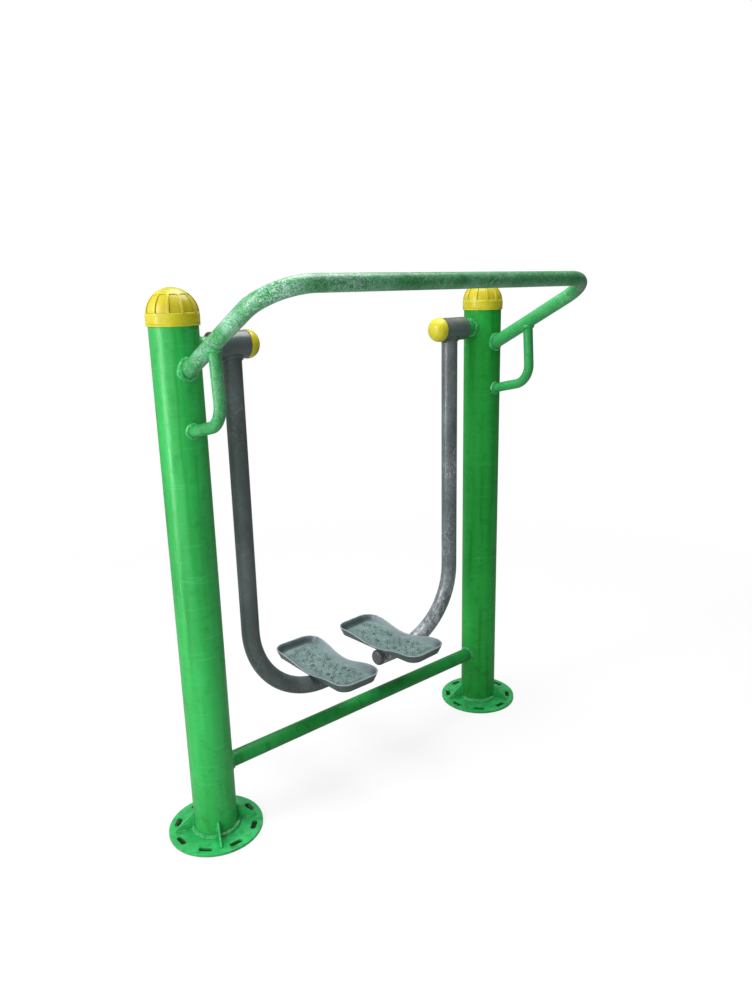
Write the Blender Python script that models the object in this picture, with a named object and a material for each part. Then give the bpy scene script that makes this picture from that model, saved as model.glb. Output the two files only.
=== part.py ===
"""Outdoor air walker: two posts, a handrail with side grips, and two swinging footplates.

Units are metres and +Z is up. X runs along the line of posts and the handrail is on the -Y side.
The origin is on the ground, in the middle of the footprint. Lengths across the posts are measured
from the line of posts, which lies a little behind the origin.
"""

import math

import bmesh
import bpy
from mathutils import Matrix, Vector

# General fits
SEAT_GAP = 0.0003
CUT_OVERRUN = 0.004
MERGE_DISTANCE = 0.00001
SHARP_ANGLE = math.radians(40)

# Posts
POST_SPACING = 1.041
POST_DIAMETER = 0.114
POST_WALL = 0.003
CAP_RIM_ABOVE_PIVOT = 0.052

# Base flanges with tangential bolt slots
FLANGE_DIAMETER = 0.250
FLANGE_THICKNESS = 0.008
FLANGE_VENT_DIAMETER = 0.060
SLOT_COUNT = 8
SLOT_CIRCLE_DIAMETER = 0.207
SLOT_LENGTH = 0.036
SLOT_WIDTH = 0.014

# Gussets stand in the gaps between the slots; gap 0 lies just past +X, counted anticlockwise
GUSSET_HEIGHT = 0.044
GUSSET_FOOT = 0.051
GUSSET_NOSE = 0.005
GUSSET_THICKNESS = 0.005
GUSSET_GAPS = {"left": (1, 3, 5, 7), "right": (0, 1, 3, 6)}

# Post caps: a plain band under a fluted dome
CAP_DIAMETER = 0.122
CAP_HEIGHT = 0.0855
CAP_BAND_HEIGHT = 0.0285
CAP_LIP_HEIGHT = 0.002
CAP_WALL = 0.003
CAP_OVERLAP = 0.029
CAP_DOME_FULLNESS = 1.9
FLUTE_COUNT = 11
FLUTE_WIDTH_SHARE = 0.84
FLUTE_DEPTH = 0.003
FLUTE_TOP_HEIGHT = 0.0717
FLUTE_PHASE = math.radians(22)

# How far up a flute each row of its shape lies, and how wide the flute is there, as shares
FLUTE_ROW_SHARES = ((0, 0.86), (0.06, 1), (0.36, 1), (0.66, 1), (0.94, 1), (1, 0.84))

# Crossbeam
BEAM_DIAMETER = 0.0424
BEAM_WALL = 0.003
BEAM_HEIGHT = 0.1775

# Handrail: arms slope from the posts up to a level bar
RAIL_DIAMETER = 0.038
RAIL_WALL = 0.0025
RAIL_WELD_BELOW_PIVOT = 0.0445
RAIL_RISE = 0.182
RAIL_REACH = 0.405
RAIL_BEND_RADIUS = 0.1085

# Side grips: a bent tube from each post up to the handrail arm
GRIP_DIAMETER = 0.028
GRIP_WALL = 0.0025
GRIP_WELD_BELOW_RAIL = 0.1405
GRIP_CORNER_RISE = 0.030
GRIP_CORNER_REACH = 0.190
GRIP_TOP_REACH = 0.178
GRIP_BEND_RADIUS = 0.060

# Pivot: axle, collar, hub and its two ball bearings
PIVOT_HEIGHT = 1.273
COLLAR_DIAMETER = 0.048
COLLAR_LENGTH = 0.028
AXLE_DIAMETER = 0.034
AXLE_PAST_POST_AXIS = 0.020
AXLE_TIP = 0.005
HUB_DIAMETER = 0.068
HUB_LENGTH = 0.098
HUB_RUNNING_GAP = 0.0025
HUB_SHOULDER_BORE = 0.045
HUB_CAP_END_RECESS = 0.017
HUB_POST_END_RECESS = 0.010
BEARING_BORE = 0.025
BEARING_DIAMETER = 0.052
BEARING_WIDTH = 0.015
BEARING_LAND = 0.0035
BALL_COUNT = 8
BALL_DIAMETER = 0.0079
BALL_CLEARANCE = 0.0005
CAGE_WIDTH = 0.004
CAGE_THICKNESS = 0.0016
SPACER_WALL = 0.0035
WASHER_DIAMETER = 0.042
WASHER_THICKNESS = 0.0025
NUT_ACROSS_FLATS = 0.036
NUT_THICKNESS = 0.012

# Ball-shaped hub end caps
HUB_CAP_DIAMETER = 0.071
HUB_CAP_DEPTH = 0.033
HUB_CAP_WALL = 0.003
HUB_CAP_FULLNESS = 2.3
HUB_CAP_SKIRT_LENGTH = 0.008

# Swing arms
ARM_DIAMETER = 0.048
ARM_WALL = 0.003
ARM_INSET = 0.009
ARM_LOW_HEIGHT = 0.3002
ARM_END_SPACING = 0.140
ARM_BEND_RADIUS = 0.226
ARM_PLUG_DEPTH = 0.014
ARM_PLUG_CORNER = 0.009
ARM_PLUG_SKIRT_LENGTH = 0.015

# Saddle plates, let down a little over the arms and welded
SADDLE_LENGTH = 0.086
SADDLE_WIDTH = 0.096
SADDLE_THICKNESS = 0.006
SADDLE_LET_DOWN = 0.0008

# Footplates: trays whose wall stands high at toe and heel and dips between them
PLATE_LENGTH = 0.347
PLATE_END_WIDTH = 0.150
PLATE_WAIST_WIDTH = 0.154
PLATE_CORNER_RADIUS = 0.042
PLATE_SPACING = 0.2500
PLATE_SETBACK = 0.012
PLATE_FLOOR = 0.005
PLATE_WALL = 0.004
PLATE_RIM_END = 0.0265
PLATE_RIM_WAIST = 0.0075
PLATE_FLARE = 0.010
PLATE_TOE_OUT = {"left": 0.0, "right": math.radians(4)}
PLATE_RIB_HEIGHT = 0.006
PLATE_RIB_THICKNESS = 0.004
PLATE_RIB_SPACING = 0.062
STUD_DIAMETER = 0.008
STUD_HEIGHT = 0.0016
STUD_PITCH = 0.025
STUD_MARGIN = 0.010
DRAIN_DIAMETER = 0.007
DRAIN_ROW_PITCH = 0.031
DRAIN_DISTANCE = 0.070

# Footplate bolts
BOLT_DIAMETER = 0.008
BOLT_HEAD_DIAMETER = 0.014
BOLT_HEAD_HEIGHT = 0.0035
BOLT_NUT_ACROSS_FLATS = 0.013
BOLT_NUT_THICKNESS = 0.0065
BOLT_TIP = 0.002
BOLT_CLEARANCE = 0.0005
BOLT_SPACING_ALONG_ARM = 0.058
BOLT_SPACING_ACROSS_ARM = 0.074

# Number of flats on the round pieces
POST_SIDES = 30
TUBE_SIDES = 20
HUB_SIDES = 24
GRIP_SIDES = 14
RACE_SIDES = 16
HOLE_SIDES = 10
BOLT_SIDES = 8
STUD_SIDES = 4
BALL_SEGMENTS = 6
BALL_RINGS = 4

# Number of steps on the curved outlines
BEND_STEPS = 6
ARM_BEND_STEPS = 10
DOME_STEPS = 6
CAVITY_STEPS = 3
GROOVE_STEPS = 2
SLOT_END_STEPS = 3
FLUTE_COLUMNS = 3
CORNER_STEPS = 4
SIDE_STEPS = 5

# Worked out from the sizes above
POST_RADIUS = POST_DIAMETER / 2
CAP_RIM_HEIGHT = PIVOT_HEIGHT + CAP_RIM_ABOVE_PIVOT
RAIL_RADIUS = RAIL_DIAMETER / 2
RAIL_WELD_HEIGHT = PIVOT_HEIGHT - RAIL_WELD_BELOW_PIVOT
RAIL_HEIGHT = RAIL_WELD_HEIGHT + RAIL_RISE
GRIP_WELD_HEIGHT = RAIL_WELD_HEIGHT - GRIP_WELD_BELOW_RAIL
GRIP_CORNER_HEIGHT = GRIP_WELD_HEIGHT + GRIP_CORNER_RISE
ARM_RADIUS = ARM_DIAMETER / 2
LARGEST_TOE_OUT = max(PLATE_TOE_OUT.values())
PLATE_CORNER_BACK = PLATE_SETBACK + PLATE_LENGTH / 2 - PLATE_CORNER_RADIUS
PLATE_CORNER_OUT = PLATE_END_WIDTH / 2 - PLATE_CORNER_RADIUS
PLATE_CORNER_TURNED = PLATE_CORNER_BACK * math.cos(LARGEST_TOE_OUT)
PLATE_CORNER_TURNED += PLATE_CORNER_OUT * math.sin(LARGEST_TOE_OUT)
PLATE_BACK = PLATE_CORNER_TURNED + PLATE_CORNER_RADIUS
POST_LINE = (RAIL_REACH + RAIL_RADIUS - max(PLATE_BACK, FLANGE_DIAMETER / 2)) / 2
HUB_MIDDLE = POST_SPACING / 2 - POST_RADIUS - COLLAR_LENGTH - HUB_RUNNING_GAP - HUB_LENGTH / 2
POST_AXIS_FROM_HUB = POST_SPACING / 2 - HUB_MIDDLE
ARM_DROP = PIVOT_HEIGHT - ARM_LOW_HEIGHT
ARM_REACH = HUB_MIDDLE - ARM_INSET - ARM_END_SPACING / 2
RAIL_SLOPE = RAIL_RISE / (RAIL_REACH - POST_RADIUS)
GRIP_SLOPE = GRIP_CORNER_RISE / (GRIP_CORNER_REACH - POST_RADIUS)
CAP_END_BEARING = -HUB_LENGTH / 2 + HUB_CAP_END_RECESS
POST_END_BEARING = HUB_LENGTH / 2 - HUB_POST_END_RECESS - BEARING_WIDTH
PITCH_RADIUS = (BEARING_BORE + BEARING_DIAMETER) / 4
SADDLE_TOP = ARM_RADIUS - SADDLE_LET_DOWN + SADDLE_THICKNESS
PLATE_FROM_ARM = HUB_MIDDLE - ARM_INSET - PLATE_SPACING / 2

SIDES = {"left": -1, "right": 1}


def clear_scene():
    for thing in list(bpy.data.objects):
        bpy.data.objects.remove(thing, do_unlink=True)


def paint(name, colour, roughness, metallic):
    """A plain Principled material."""
    material = bpy.data.materials.new(name)
    material.use_nodes = True
    shader = material.node_tree.nodes["Principled BSDF"]
    shader.inputs["Base Color"].default_value = (*colour, 1.0)
    shader.inputs["Roughness"].default_value = roughness
    shader.inputs["Metallic"].default_value = metallic
    return material


def group(name, location, parent):
    """An empty that carries pieces; its place is given in its parent's frame."""
    empty = bpy.data.objects.new(name, None)
    empty.location = location
    empty.parent = parent
    bpy.context.collection.objects.link(empty)
    return empty


def piece(name, bm, material, parent):
    """One solid as its own object, with its faces turned outwards."""
    bmesh.ops.recalc_face_normals(bm, faces=bm.faces)
    mesh = bpy.data.meshes.new(name)
    bm.to_mesh(mesh)
    bm.free()
    mesh.shade_smooth()
    mesh.set_sharp_from_angle(angle=SHARP_ANGLE)
    solid = bpy.data.objects.new(name, mesh)
    solid.parent = parent
    bpy.context.collection.objects.link(solid)
    if material is not None:
        mesh.materials.append(material)
    return solid


def cutter(name, bm, parent):
    """A solid that only shapes others."""
    tool = piece(name, bm, None, parent)
    tool.hide_render = True
    tool.display_type = "WIRE"
    return tool


def shape_with(solid, tool, operation="DIFFERENCE"):
    boolean = solid.modifiers.new(tool.name, "BOOLEAN")
    boolean.operation = operation
    boolean.solver = "EXACT"
    boolean.object = tool


def ring(bm, centre, along, side, radius, sides):
    """A ring of points round a path; side is the direction of its first point."""
    across = along.cross(side)
    turns = [math.tau * step / sides for step in range(sides)]
    return [bm.verts.new(centre + radius * (math.cos(a) * side + math.sin(a) * across)) for a in turns]


def skin(bm, rings):
    """Quads between each ring and the next."""
    for near, far in zip(rings, rings[1:]):
        for index in range(len(near)):
            after = (index + 1) % len(near)
            bm.faces.new((near[index], near[after], far[after], far[index]))


def sweep(bm, path, radius, sides, side):
    """Rings along a flat path; side is square to the plane that the path bends in."""
    rings = []
    for index, point in enumerate(path):
        before = path[max(index - 1, 0)]
        after = path[min(index + 1, len(path) - 1)]
        rings.append(ring(bm, point, (after - before).normalized(), side, radius, sides))
    skin(bm, rings)
    return rings


def tube(path, radius, wall, sides, side):
    """A hollow tube along a path, open at both ends."""
    bm = bmesh.new()
    outer = sweep(bm, path, radius, sides, side)
    inner = sweep(bm, path, radius - wall, sides, side)
    for end in (0, -1):
        skin(bm, [outer[end], inner[end]])
    return bm


def rod(path, radius, sides, side):
    """A solid bar along a path."""
    bm = bmesh.new()
    rings = sweep(bm, path, radius, sides, side)
    for end in (0, -1):
        bm.faces.new(rings[end])
    return bm


def turned(profile, sides, axis="X", closed=True):
    """Turns a profile of (distance along the axis, radius) points round the X or the Z axis.
    A closed profile makes a ring. One that isn't closed starts and ends on the axis."""
    bm = bmesh.new()
    if axis == "X":
        points = [Vector((along, 0, radius)) for along, radius in profile]
        direction = Vector((1, 0, 0))
    else:
        points = [Vector((radius, 0, along)) for along, radius in profile]
        direction = Vector((0, 0, 1))
    verts = [bm.verts.new(point) for point in points]
    ends = verts[1:] + verts[:1] if closed else verts[1:]
    edges = [bm.edges.new(pair) for pair in zip(verts, ends)]
    bmesh.ops.spin(
        bm, geom=verts + edges, cent=(0, 0, 0), axis=direction, dvec=(0, 0, 0),
        angle=math.tau, steps=sides, use_merge=True, use_duplicate=False,
    )
    bmesh.ops.remove_doubles(bm, verts=bm.verts, dist=MERGE_DISTANCE)
    return bm


def sleeve(start, end, outer, inner, sides, axis="X"):
    """A plain ring between two places on its axis."""
    profile = [(start, inner), (start, outer), (end, outer), (end, inner)]
    return turned(profile, sides, axis)


def prism(outline, base, top):
    """A flat outline in X and Y, raised from one height to another."""
    bm = bmesh.new()
    lower = [bm.verts.new((x, y, base)) for x, y in outline]
    upper = [bm.verts.new((x, y, top)) for x, y in outline]
    skin(bm, [lower, upper])
    bm.faces.new(lower)
    bm.faces.new(upper)
    return bm


def box(low, high):
    """A block between two corners."""
    outline = [(low[0], low[1]), (high[0], low[1]), (high[0], high[1]), (low[0], high[1])]
    return prism(outline, low[2], high[2])


def hexagon(across_flats):
    corner = across_flats / math.sqrt(3)
    return [(corner * math.cos(a), corner * math.sin(a)) for a in (math.tau * k / 6 for k in range(6))]


def absorb(bm, other, matrix=Matrix.Identity(4)):
    """Adds a second shape to a first, moved by a matrix."""
    mesh = bpy.data.meshes.new("part_of_shape")
    other.to_mesh(mesh)
    other.free()
    mesh.transform(matrix)
    bm.from_mesh(mesh)
    bpy.data.meshes.remove(mesh)


def filleted(corners, radius, steps):
    """A path through the first and last corner with a round bend at each corner between them."""
    points = [corners[0]]
    for before, corner, after in zip(corners, corners[1:], corners[2:]):
        back = (before - corner).normalized()
        onward = (after - corner).normalized()
        half_angle = back.angle(onward) / 2
        tangent = radius / math.tan(half_angle)
        centre = corner + (back + onward).normalized() * (radius / math.sin(half_angle))
        first = corner + back * tangent - centre
        last = corner + onward * tangent - centre
        sweep_angle = first.angle(last)
        for step in range(steps + 1):
            share = step / steps
            start_weight = math.sin((1 - share) * sweep_angle) / math.sin(sweep_angle)
            end_weight = math.sin(share * sweep_angle) / math.sin(sweep_angle)
            points.append(centre + first * start_weight + last * end_weight)
    points.append(corners[-1])
    return points


def dome(radius, depth, fullness, steps, start=0.0):
    """(distance, radius) points from the dome's foot to its top; fullness 2 is an ellipse."""
    points = []
    for step in range(steps + 1):
        angle = step / steps * math.pi / 2
        along = depth * math.sin(angle) ** (2 / fullness)
        out = radius * math.cos(angle) ** (2 / fullness) if step < steps else 0
        points.append((start + along, out))
    return points


def post_cope(name, parent, radius=POST_RADIUS + SEAT_GAP):
    """The post's outside with a seat gap, which shapes the end of each tube that meets it."""
    path = [Vector((0, 0, 0)), Vector((0, 0, CAP_RIM_HEIGHT + CAP_HEIGHT))]
    return cutter(name, rod(path, radius, POST_SIDES, Vector((1, 0, 0))), parent)


def make_post(side, post, steel):
    """The post tube, with the hole that its axle goes through."""
    sign = SIDES[side]
    foot = Vector((0, 0, FLANGE_THICKNESS + SEAT_GAP))
    head = Vector((0, 0, CAP_RIM_HEIGHT + CAP_OVERLAP))
    tube_mesh = tube([foot, head], POST_RADIUS, POST_WALL, POST_SIDES, Vector((1, 0, 0)))
    solid = piece(f"{side}_post", tube_mesh, steel, post)
    mouth = Vector((-sign * (POST_RADIUS + CUT_OVERRUN), 0, PIVOT_HEIGHT))
    middle = Vector((0, 0, PIVOT_HEIGHT))
    hole = rod([mouth, middle], AXLE_DIAMETER / 2 + SEAT_GAP, TUBE_SIDES, Vector((0, 0, 1)))
    shape_with(solid, cutter(f"{side}_axle_hole_cutter", hole, post))


def slot_outline():
    """A slot along Y, with round ends, at the slot circle."""
    straight = (SLOT_LENGTH - SLOT_WIDTH) / 2
    outline = []
    for end in (1, -1):
        for step in range(SLOT_END_STEPS + 1):
            angle = math.pi * step / SLOT_END_STEPS
            x = end * SLOT_WIDTH / 2 * math.cos(angle)
            y = end * (straight + SLOT_WIDTH / 2 * math.sin(angle))
            outline.append((SLOT_CIRCLE_DIAMETER / 2 + x, y))
    return outline


def make_flange(side, post, steel):
    """The base flange with its slots and the post's vent hole."""
    radius = FLANGE_DIAMETER / 2
    plate = sleeve(0, FLANGE_THICKNESS, radius, FLANGE_VENT_DIAMETER / 2, POST_SIDES, "Z")
    solid = piece(f"{side}_base_flange", plate, steel, post)
    slots = bmesh.new()
    for index in range(SLOT_COUNT):
        slot = prism(slot_outline(), -CUT_OVERRUN, FLANGE_THICKNESS + CUT_OVERRUN)
        absorb(slots, slot, Matrix.Rotation(math.tau * index / SLOT_COUNT, 4, "Z"))
    shape_with(solid, cutter(f"{side}_slot_cutter", slots, post))


def make_gussets(side, post, steel):
    """Triangular plates between post and flange, their inner edges cut to the round post."""
    cope = post_cope(f"{side}_gusset_cope", post)
    foot_height = FLANGE_THICKNESS + SEAT_GAP
    for number, gap in enumerate(GUSSET_GAPS[side], start=1):
        profile = [
            (POST_RADIUS - CUT_OVERRUN, foot_height),
            (POST_RADIUS + GUSSET_FOOT, foot_height),
            (POST_RADIUS + GUSSET_FOOT, foot_height + GUSSET_NOSE),
            (POST_RADIUS + GUSSET_NOSE, foot_height + GUSSET_HEIGHT),
            (POST_RADIUS - CUT_OVERRUN, foot_height + GUSSET_HEIGHT),
        ]
        plate = prism(profile, -GUSSET_THICKNESS / 2, GUSSET_THICKNESS / 2)
        plate.transform(Matrix.Rotation(math.pi / 2, 4, "X"))
        plate.transform(Matrix.Rotation(math.tau * (gap + 0.5) / SLOT_COUNT, 4, "Z"))
        shape_with(piece(f"{side}_gusset_{number}", plate, steel, post), cope)


def cap_outer_profile():
    """From the rim, over the chamfered lip and the band, to the top of the dome."""
    radius = CAP_DIAMETER / 2
    rise = CAP_HEIGHT - CAP_BAND_HEIGHT
    lip = [(0, radius - CAP_LIP_HEIGHT), (CAP_LIP_HEIGHT, radius)]
    return lip + dome(radius, rise, CAP_DOME_FULLNESS, DOME_STEPS, CAP_BAND_HEIGHT)


def flute_patch():
    """One flute's cutter: a patch of shell, from the flute's floor to the air outside the dome."""
    rise = CAP_HEIGHT - CAP_BAND_HEIGHT
    top = math.asin(((FLUTE_TOP_HEIGHT - CAP_BAND_HEIGHT) / rise) ** (CAP_DOME_FULLNESS / 2))
    bm = bmesh.new()
    rows = []
    for climb, width in FLUTE_ROW_SHARES:
        height = CAP_BAND_HEIGHT + rise * math.sin(climb * top) ** (2 / CAP_DOME_FULLNESS)
        taper = math.cos(climb * top) ** (2 / CAP_DOME_FULLNESS)
        half_angle = width * FLUTE_WIDTH_SHARE * math.pi / FLUTE_COUNT
        row = []
        for radius, way in ((CAP_DIAMETER / 2 - FLUTE_DEPTH, 1), (CAP_DIAMETER / 2 + CUT_OVERRUN, -1)):
            for column in range(FLUTE_COLUMNS + 1):
                angle = way * half_angle * (2 * column / FLUTE_COLUMNS - 1)
                reach = radius * taper
                row.append(bm.verts.new((reach * math.cos(angle), reach * math.sin(angle), height)))
        rows.append(row)
    skin(bm, rows)
    for end in (0, -1):
        bm.faces.new(rows[end])
    return bm


def make_cap(side, post, plastic):
    """The moulded cap: a shell that slips over the post, with flutes sunk into its dome."""
    bore = POST_RADIUS + SEAT_GAP
    seat = CAP_OVERLAP + SEAT_GAP
    cavity_rise = CAP_HEIGHT - CAP_WALL - seat
    cavity = dome(bore - CAP_WALL, cavity_rise, CAP_DOME_FULLNESS, CAVITY_STEPS, seat)
    profile = cap_outer_profile()[::-1] + [(0, bore), (seat, bore)] + cavity
    shell = turned(profile, POST_SIDES, "Z", closed=False)
    carrier = group(f"{side}_cap_seat", (0, 0, CAP_RIM_HEIGHT), post)
    solid = piece(f"{side}_post_cap", shell, plastic, carrier)

    flutes = bmesh.new()
    for index in range(FLUTE_COUNT):
        turn = Matrix.Rotation(FLUTE_PHASE + math.tau * index / FLUTE_COUNT, 4, "Z")
        absorb(flutes, flute_patch(), turn)
    shape_with(solid, cutter(f"{side}_flute_cutter", flutes, carrier))


def make_crossbeam(frame, steel, copes):
    """The low tube between the posts."""
    end = Vector((POST_SPACING / 2, 0, BEAM_HEIGHT))
    start = Vector((-POST_SPACING / 2, 0, BEAM_HEIGHT))
    beam = tube([start, end], BEAM_DIAMETER / 2, BEAM_WALL, TUBE_SIDES, Vector((0, 0, 1)))
    solid = piece("crossbeam", beam, steel, frame)
    for cope in copes:
        shape_with(solid, cope)


def rail_corners():
    """The handrail's axis from inside one post to inside the other."""
    half = POST_SPACING / 2
    start_height = RAIL_WELD_HEIGHT - RAIL_SLOPE * POST_RADIUS
    return [
        Vector((-half, 0, start_height)),
        Vector((-half, -RAIL_REACH, RAIL_HEIGHT)),
        Vector((half, -RAIL_REACH, RAIL_HEIGHT)),
        Vector((half, 0, start_height)),
    ]


def make_handrail(frame, steel, copes):
    """One tube bent twice, its ends shaped to the posts."""
    corners = rail_corners()
    across = (corners[1] - corners[0]).cross(corners[2] - corners[1]).normalized()
    path = filleted(corners, RAIL_BEND_RADIUS, BEND_STEPS)
    rail = tube(path, RAIL_RADIUS, RAIL_WALL, TUBE_SIDES, across)
    solid = piece("handrail", rail, steel, frame)
    for cope in copes:
        shape_with(solid, cope)


def make_grip(side, frame, steel, cope):
    """The bent grip, shaped to the post below and to the handrail arm above."""
    x = SIDES[side] * POST_SPACING / 2
    start_height = GRIP_WELD_HEIGHT - GRIP_SLOPE * POST_RADIUS
    top_height = RAIL_WELD_HEIGHT + RAIL_SLOPE * (GRIP_TOP_REACH - POST_RADIUS)
    corners = [
        Vector((x, 0, start_height)),
        Vector((x, -GRIP_CORNER_REACH, GRIP_CORNER_HEIGHT)),
        Vector((x, -GRIP_TOP_REACH, top_height)),
    ]
    path = filleted(corners, GRIP_BEND_RADIUS, BEND_STEPS)
    grip = tube(path, GRIP_DIAMETER / 2, GRIP_WALL, GRIP_SIDES, Vector((1, 0, 0)))
    solid = piece(f"{side}_side_grip", grip, steel, frame)
    shape_with(solid, cope)
    arm = [Vector((x, point.y, point.z)) for point in rail_corners()[:2]]
    arm_cutter = rod(arm, RAIL_RADIUS + SEAT_GAP, TUBE_SIDES, Vector((1, 0, 0)))
    shape_with(solid, cutter(f"{side}_rail_cope", arm_cutter, frame))


def make_collar(side, pivot, steel):
    """The welded stub round the axle, shaped to the post."""
    sign = SIDES[side]
    inner_end = sign * (HUB_LENGTH / 2 + HUB_RUNNING_GAP)
    outer_end = sign * POST_AXIS_FROM_HUB
    stub = sleeve(inner_end, outer_end, COLLAR_DIAMETER / 2, AXLE_DIAMETER / 2 + SEAT_GAP, TUBE_SIDES)
    solid = piece(f"{side}_axle_collar", stub, steel, pivot)
    carrier = group(f"{side}_collar_cope_axis", (sign * POST_AXIS_FROM_HUB, 0, -PIVOT_HEIGHT), pivot)
    shape_with(solid, post_cope(f"{side}_collar_cope", carrier))


def make_axle(side, pivot, steel):
    """The stepped shaft: thick through post and collar, thin through the bearings."""
    sign = SIDES[side]
    seat_radius = BEARING_BORE / 2
    tip = CAP_END_BEARING - WASHER_THICKNESS - NUT_THICKNESS - AXLE_TIP
    shoulder = POST_END_BEARING + BEARING_WIDTH + SEAT_GAP
    profile = [
        (tip, 0),
        (tip, seat_radius - AXLE_TIP / 4),
        (tip + AXLE_TIP / 4, seat_radius),
        (shoulder, seat_radius),
        (shoulder, AXLE_DIAMETER / 2),
        (POST_AXIS_FROM_HUB + AXLE_PAST_POST_AXIS, AXLE_DIAMETER / 2),
        (POST_AXIS_FROM_HUB + AXLE_PAST_POST_AXIS, 0),
    ]
    bar = turned([(sign * along, radius) for along, radius in profile], RACE_SIDES, closed=False)
    piece(f"{side}_axle", bar, steel, pivot)


def race(start, land_radius, body_radius, groove_side, sign):
    """A bearing ring with its ball groove; groove_side is 1 where the groove faces outwards."""
    groove_radius = BALL_DIAMETER / 2 + BALL_CLEARANCE
    middle = start + BEARING_WIDTH / 2
    lip = math.sqrt(groove_radius ** 2 - (land_radius - PITCH_RADIUS) ** 2)
    profile = [(start, body_radius), (start, land_radius), (middle - lip, land_radius)]
    reach = math.atan2(lip, abs(land_radius - PITCH_RADIUS))
    for step in range(1, GROOVE_STEPS):
        angle = -reach + 2 * reach * step / GROOVE_STEPS
        depth = groove_radius * math.cos(angle)
        profile.append((middle + groove_radius * math.sin(angle), PITCH_RADIUS - groove_side * depth))
    end = start + BEARING_WIDTH
    profile += [(middle + lip, land_radius), (end, land_radius), (end, body_radius)]
    return turned([(sign * along, radius) for along, radius in profile], RACE_SIDES)


def caged_balls(start, sign):
    """The balls, and the thin cage ring through their middles that holds them."""
    middle = sign * (start + BEARING_WIDTH / 2)
    half = CAGE_WIDTH / 2
    outer = PITCH_RADIUS + CAGE_THICKNESS / 2
    cage = sleeve(middle - half, middle + half, outer, outer - CAGE_THICKNESS, 2 * BALL_COUNT)
    balls = bmesh.new()
    for index in range(BALL_COUNT):
        angle = math.tau * index / BALL_COUNT
        across = PITCH_RADIUS * math.cos(angle)
        place = Matrix.Translation((middle, across, PITCH_RADIUS * math.sin(angle)))
        bmesh.ops.create_uvsphere(
            balls, u_segments=BALL_SEGMENTS, v_segments=BALL_RINGS,
            radius=BALL_DIAMETER / 2, matrix=place,
        )
    return cage, balls


def make_bearing(side, end, start, pivot, arm, steel):
    """Inner ring on the axle, outer ring and caged balls in the hub."""
    sign = SIDES[side]
    land = PITCH_RADIUS - BEARING_LAND
    inner = race(start, land, BEARING_BORE / 2 + SEAT_GAP, 1, sign)
    piece(f"{side}_{end}_bearing_inner_ring", inner, steel, pivot)
    land = PITCH_RADIUS + BEARING_LAND
    outer = race(start, land, BEARING_DIAMETER / 2 - SEAT_GAP, -1, sign)
    piece(f"{side}_{end}_bearing_outer_ring", outer, steel, arm)
    cage, balls = caged_balls(start, sign)
    solid = piece(f"{side}_{end}_bearing_balls", cage, steel, arm)
    shape_with(solid, cutter(f"{side}_{end}_ball_shapes", balls, arm), "UNION")


def make_axle_fittings(side, pivot, steel):
    """Spacer between the inner rings, and the washer and nut that hold them."""
    sign = SIDES[side]
    bore = BEARING_BORE / 2 + SEAT_GAP
    spacer = sleeve(
        sign * (CAP_END_BEARING + BEARING_WIDTH + SEAT_GAP), sign * (POST_END_BEARING - SEAT_GAP),
        bore + SPACER_WALL, bore, RACE_SIDES,
    )
    piece(f"{side}_bearing_spacer", spacer, steel, pivot)
    washer_end = CAP_END_BEARING - SEAT_GAP
    washer_start = washer_end - WASHER_THICKNESS
    washer = sleeve(sign * washer_start, sign * washer_end, WASHER_DIAMETER / 2, bore, RACE_SIDES)
    piece(f"{side}_axle_washer", washer, steel, pivot)
    nut_end = washer_start - SEAT_GAP
    nut = prism(hexagon(NUT_ACROSS_FLATS), nut_end - NUT_THICKNESS, nut_end)
    nut.transform(Matrix.Rotation(sign * math.pi / 2, 4, "Y"))
    solid = piece(f"{side}_axle_nut", nut, steel, pivot)
    hole_start = Vector((sign * (nut_end + CUT_OVERRUN), 0, 0))
    hole_end = Vector((sign * (nut_end - NUT_THICKNESS - CUT_OVERRUN), 0, 0))
    hole = rod([hole_start, hole_end], bore, RACE_SIDES, Vector((0, 0, 1)))
    shape_with(solid, cutter(f"{side}_nut_hole_cutter", hole, pivot))


def make_hub(side, arm, steel):
    """The bearing housing: two seats with a shoulder between them."""
    sign = SIDES[side]
    half = HUB_LENGTH / 2
    seat = BEARING_DIAMETER / 2
    profile = [
        (-half, seat),
        (-half, HUB_DIAMETER / 2),
        (half, HUB_DIAMETER / 2),
        (half, seat),
        (POST_END_BEARING - SEAT_GAP, seat),
        (POST_END_BEARING - SEAT_GAP, HUB_SHOULDER_BORE / 2),
        (CAP_END_BEARING + BEARING_WIDTH + SEAT_GAP, HUB_SHOULDER_BORE / 2),
        (CAP_END_BEARING + BEARING_WIDTH + SEAT_GAP, seat),
    ]
    housing = turned([(sign * along, radius) for along, radius in profile], HUB_SIDES)
    piece(f"{side}_hub", housing, steel, arm)


def make_hub_cap(side, arm, plastic):
    """The ball-shaped cap, a shell with a short skirt that plugs into the hub."""
    sign = SIDES[side]
    face = -HUB_LENGTH / 2 - SEAT_GAP
    skirt_radius = BEARING_DIAMETER / 2 - SEAT_GAP
    skirt_end = face + HUB_CAP_SKIRT_LENGTH
    cavity_radius = skirt_radius - HUB_CAP_WALL
    outer = dome(HUB_CAP_DIAMETER / 2, HUB_CAP_DEPTH, HUB_CAP_FULLNESS, DOME_STEPS)
    cavity = dome(cavity_radius, HUB_CAP_DEPTH - HUB_CAP_WALL, HUB_CAP_FULLNESS, CAVITY_STEPS)
    profile = [(face - depth, radius) for depth, radius in outer[::-1]]
    profile += [(face, skirt_radius), (skirt_end, skirt_radius), (skirt_end, cavity_radius)]
    profile += [(face - depth, radius) for depth, radius in cavity]
    shell = turned([(sign * along, radius) for along, radius in profile], HUB_SIDES, closed=False)
    piece(f"{side}_hub_end_cap", shell, plastic, arm)


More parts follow.
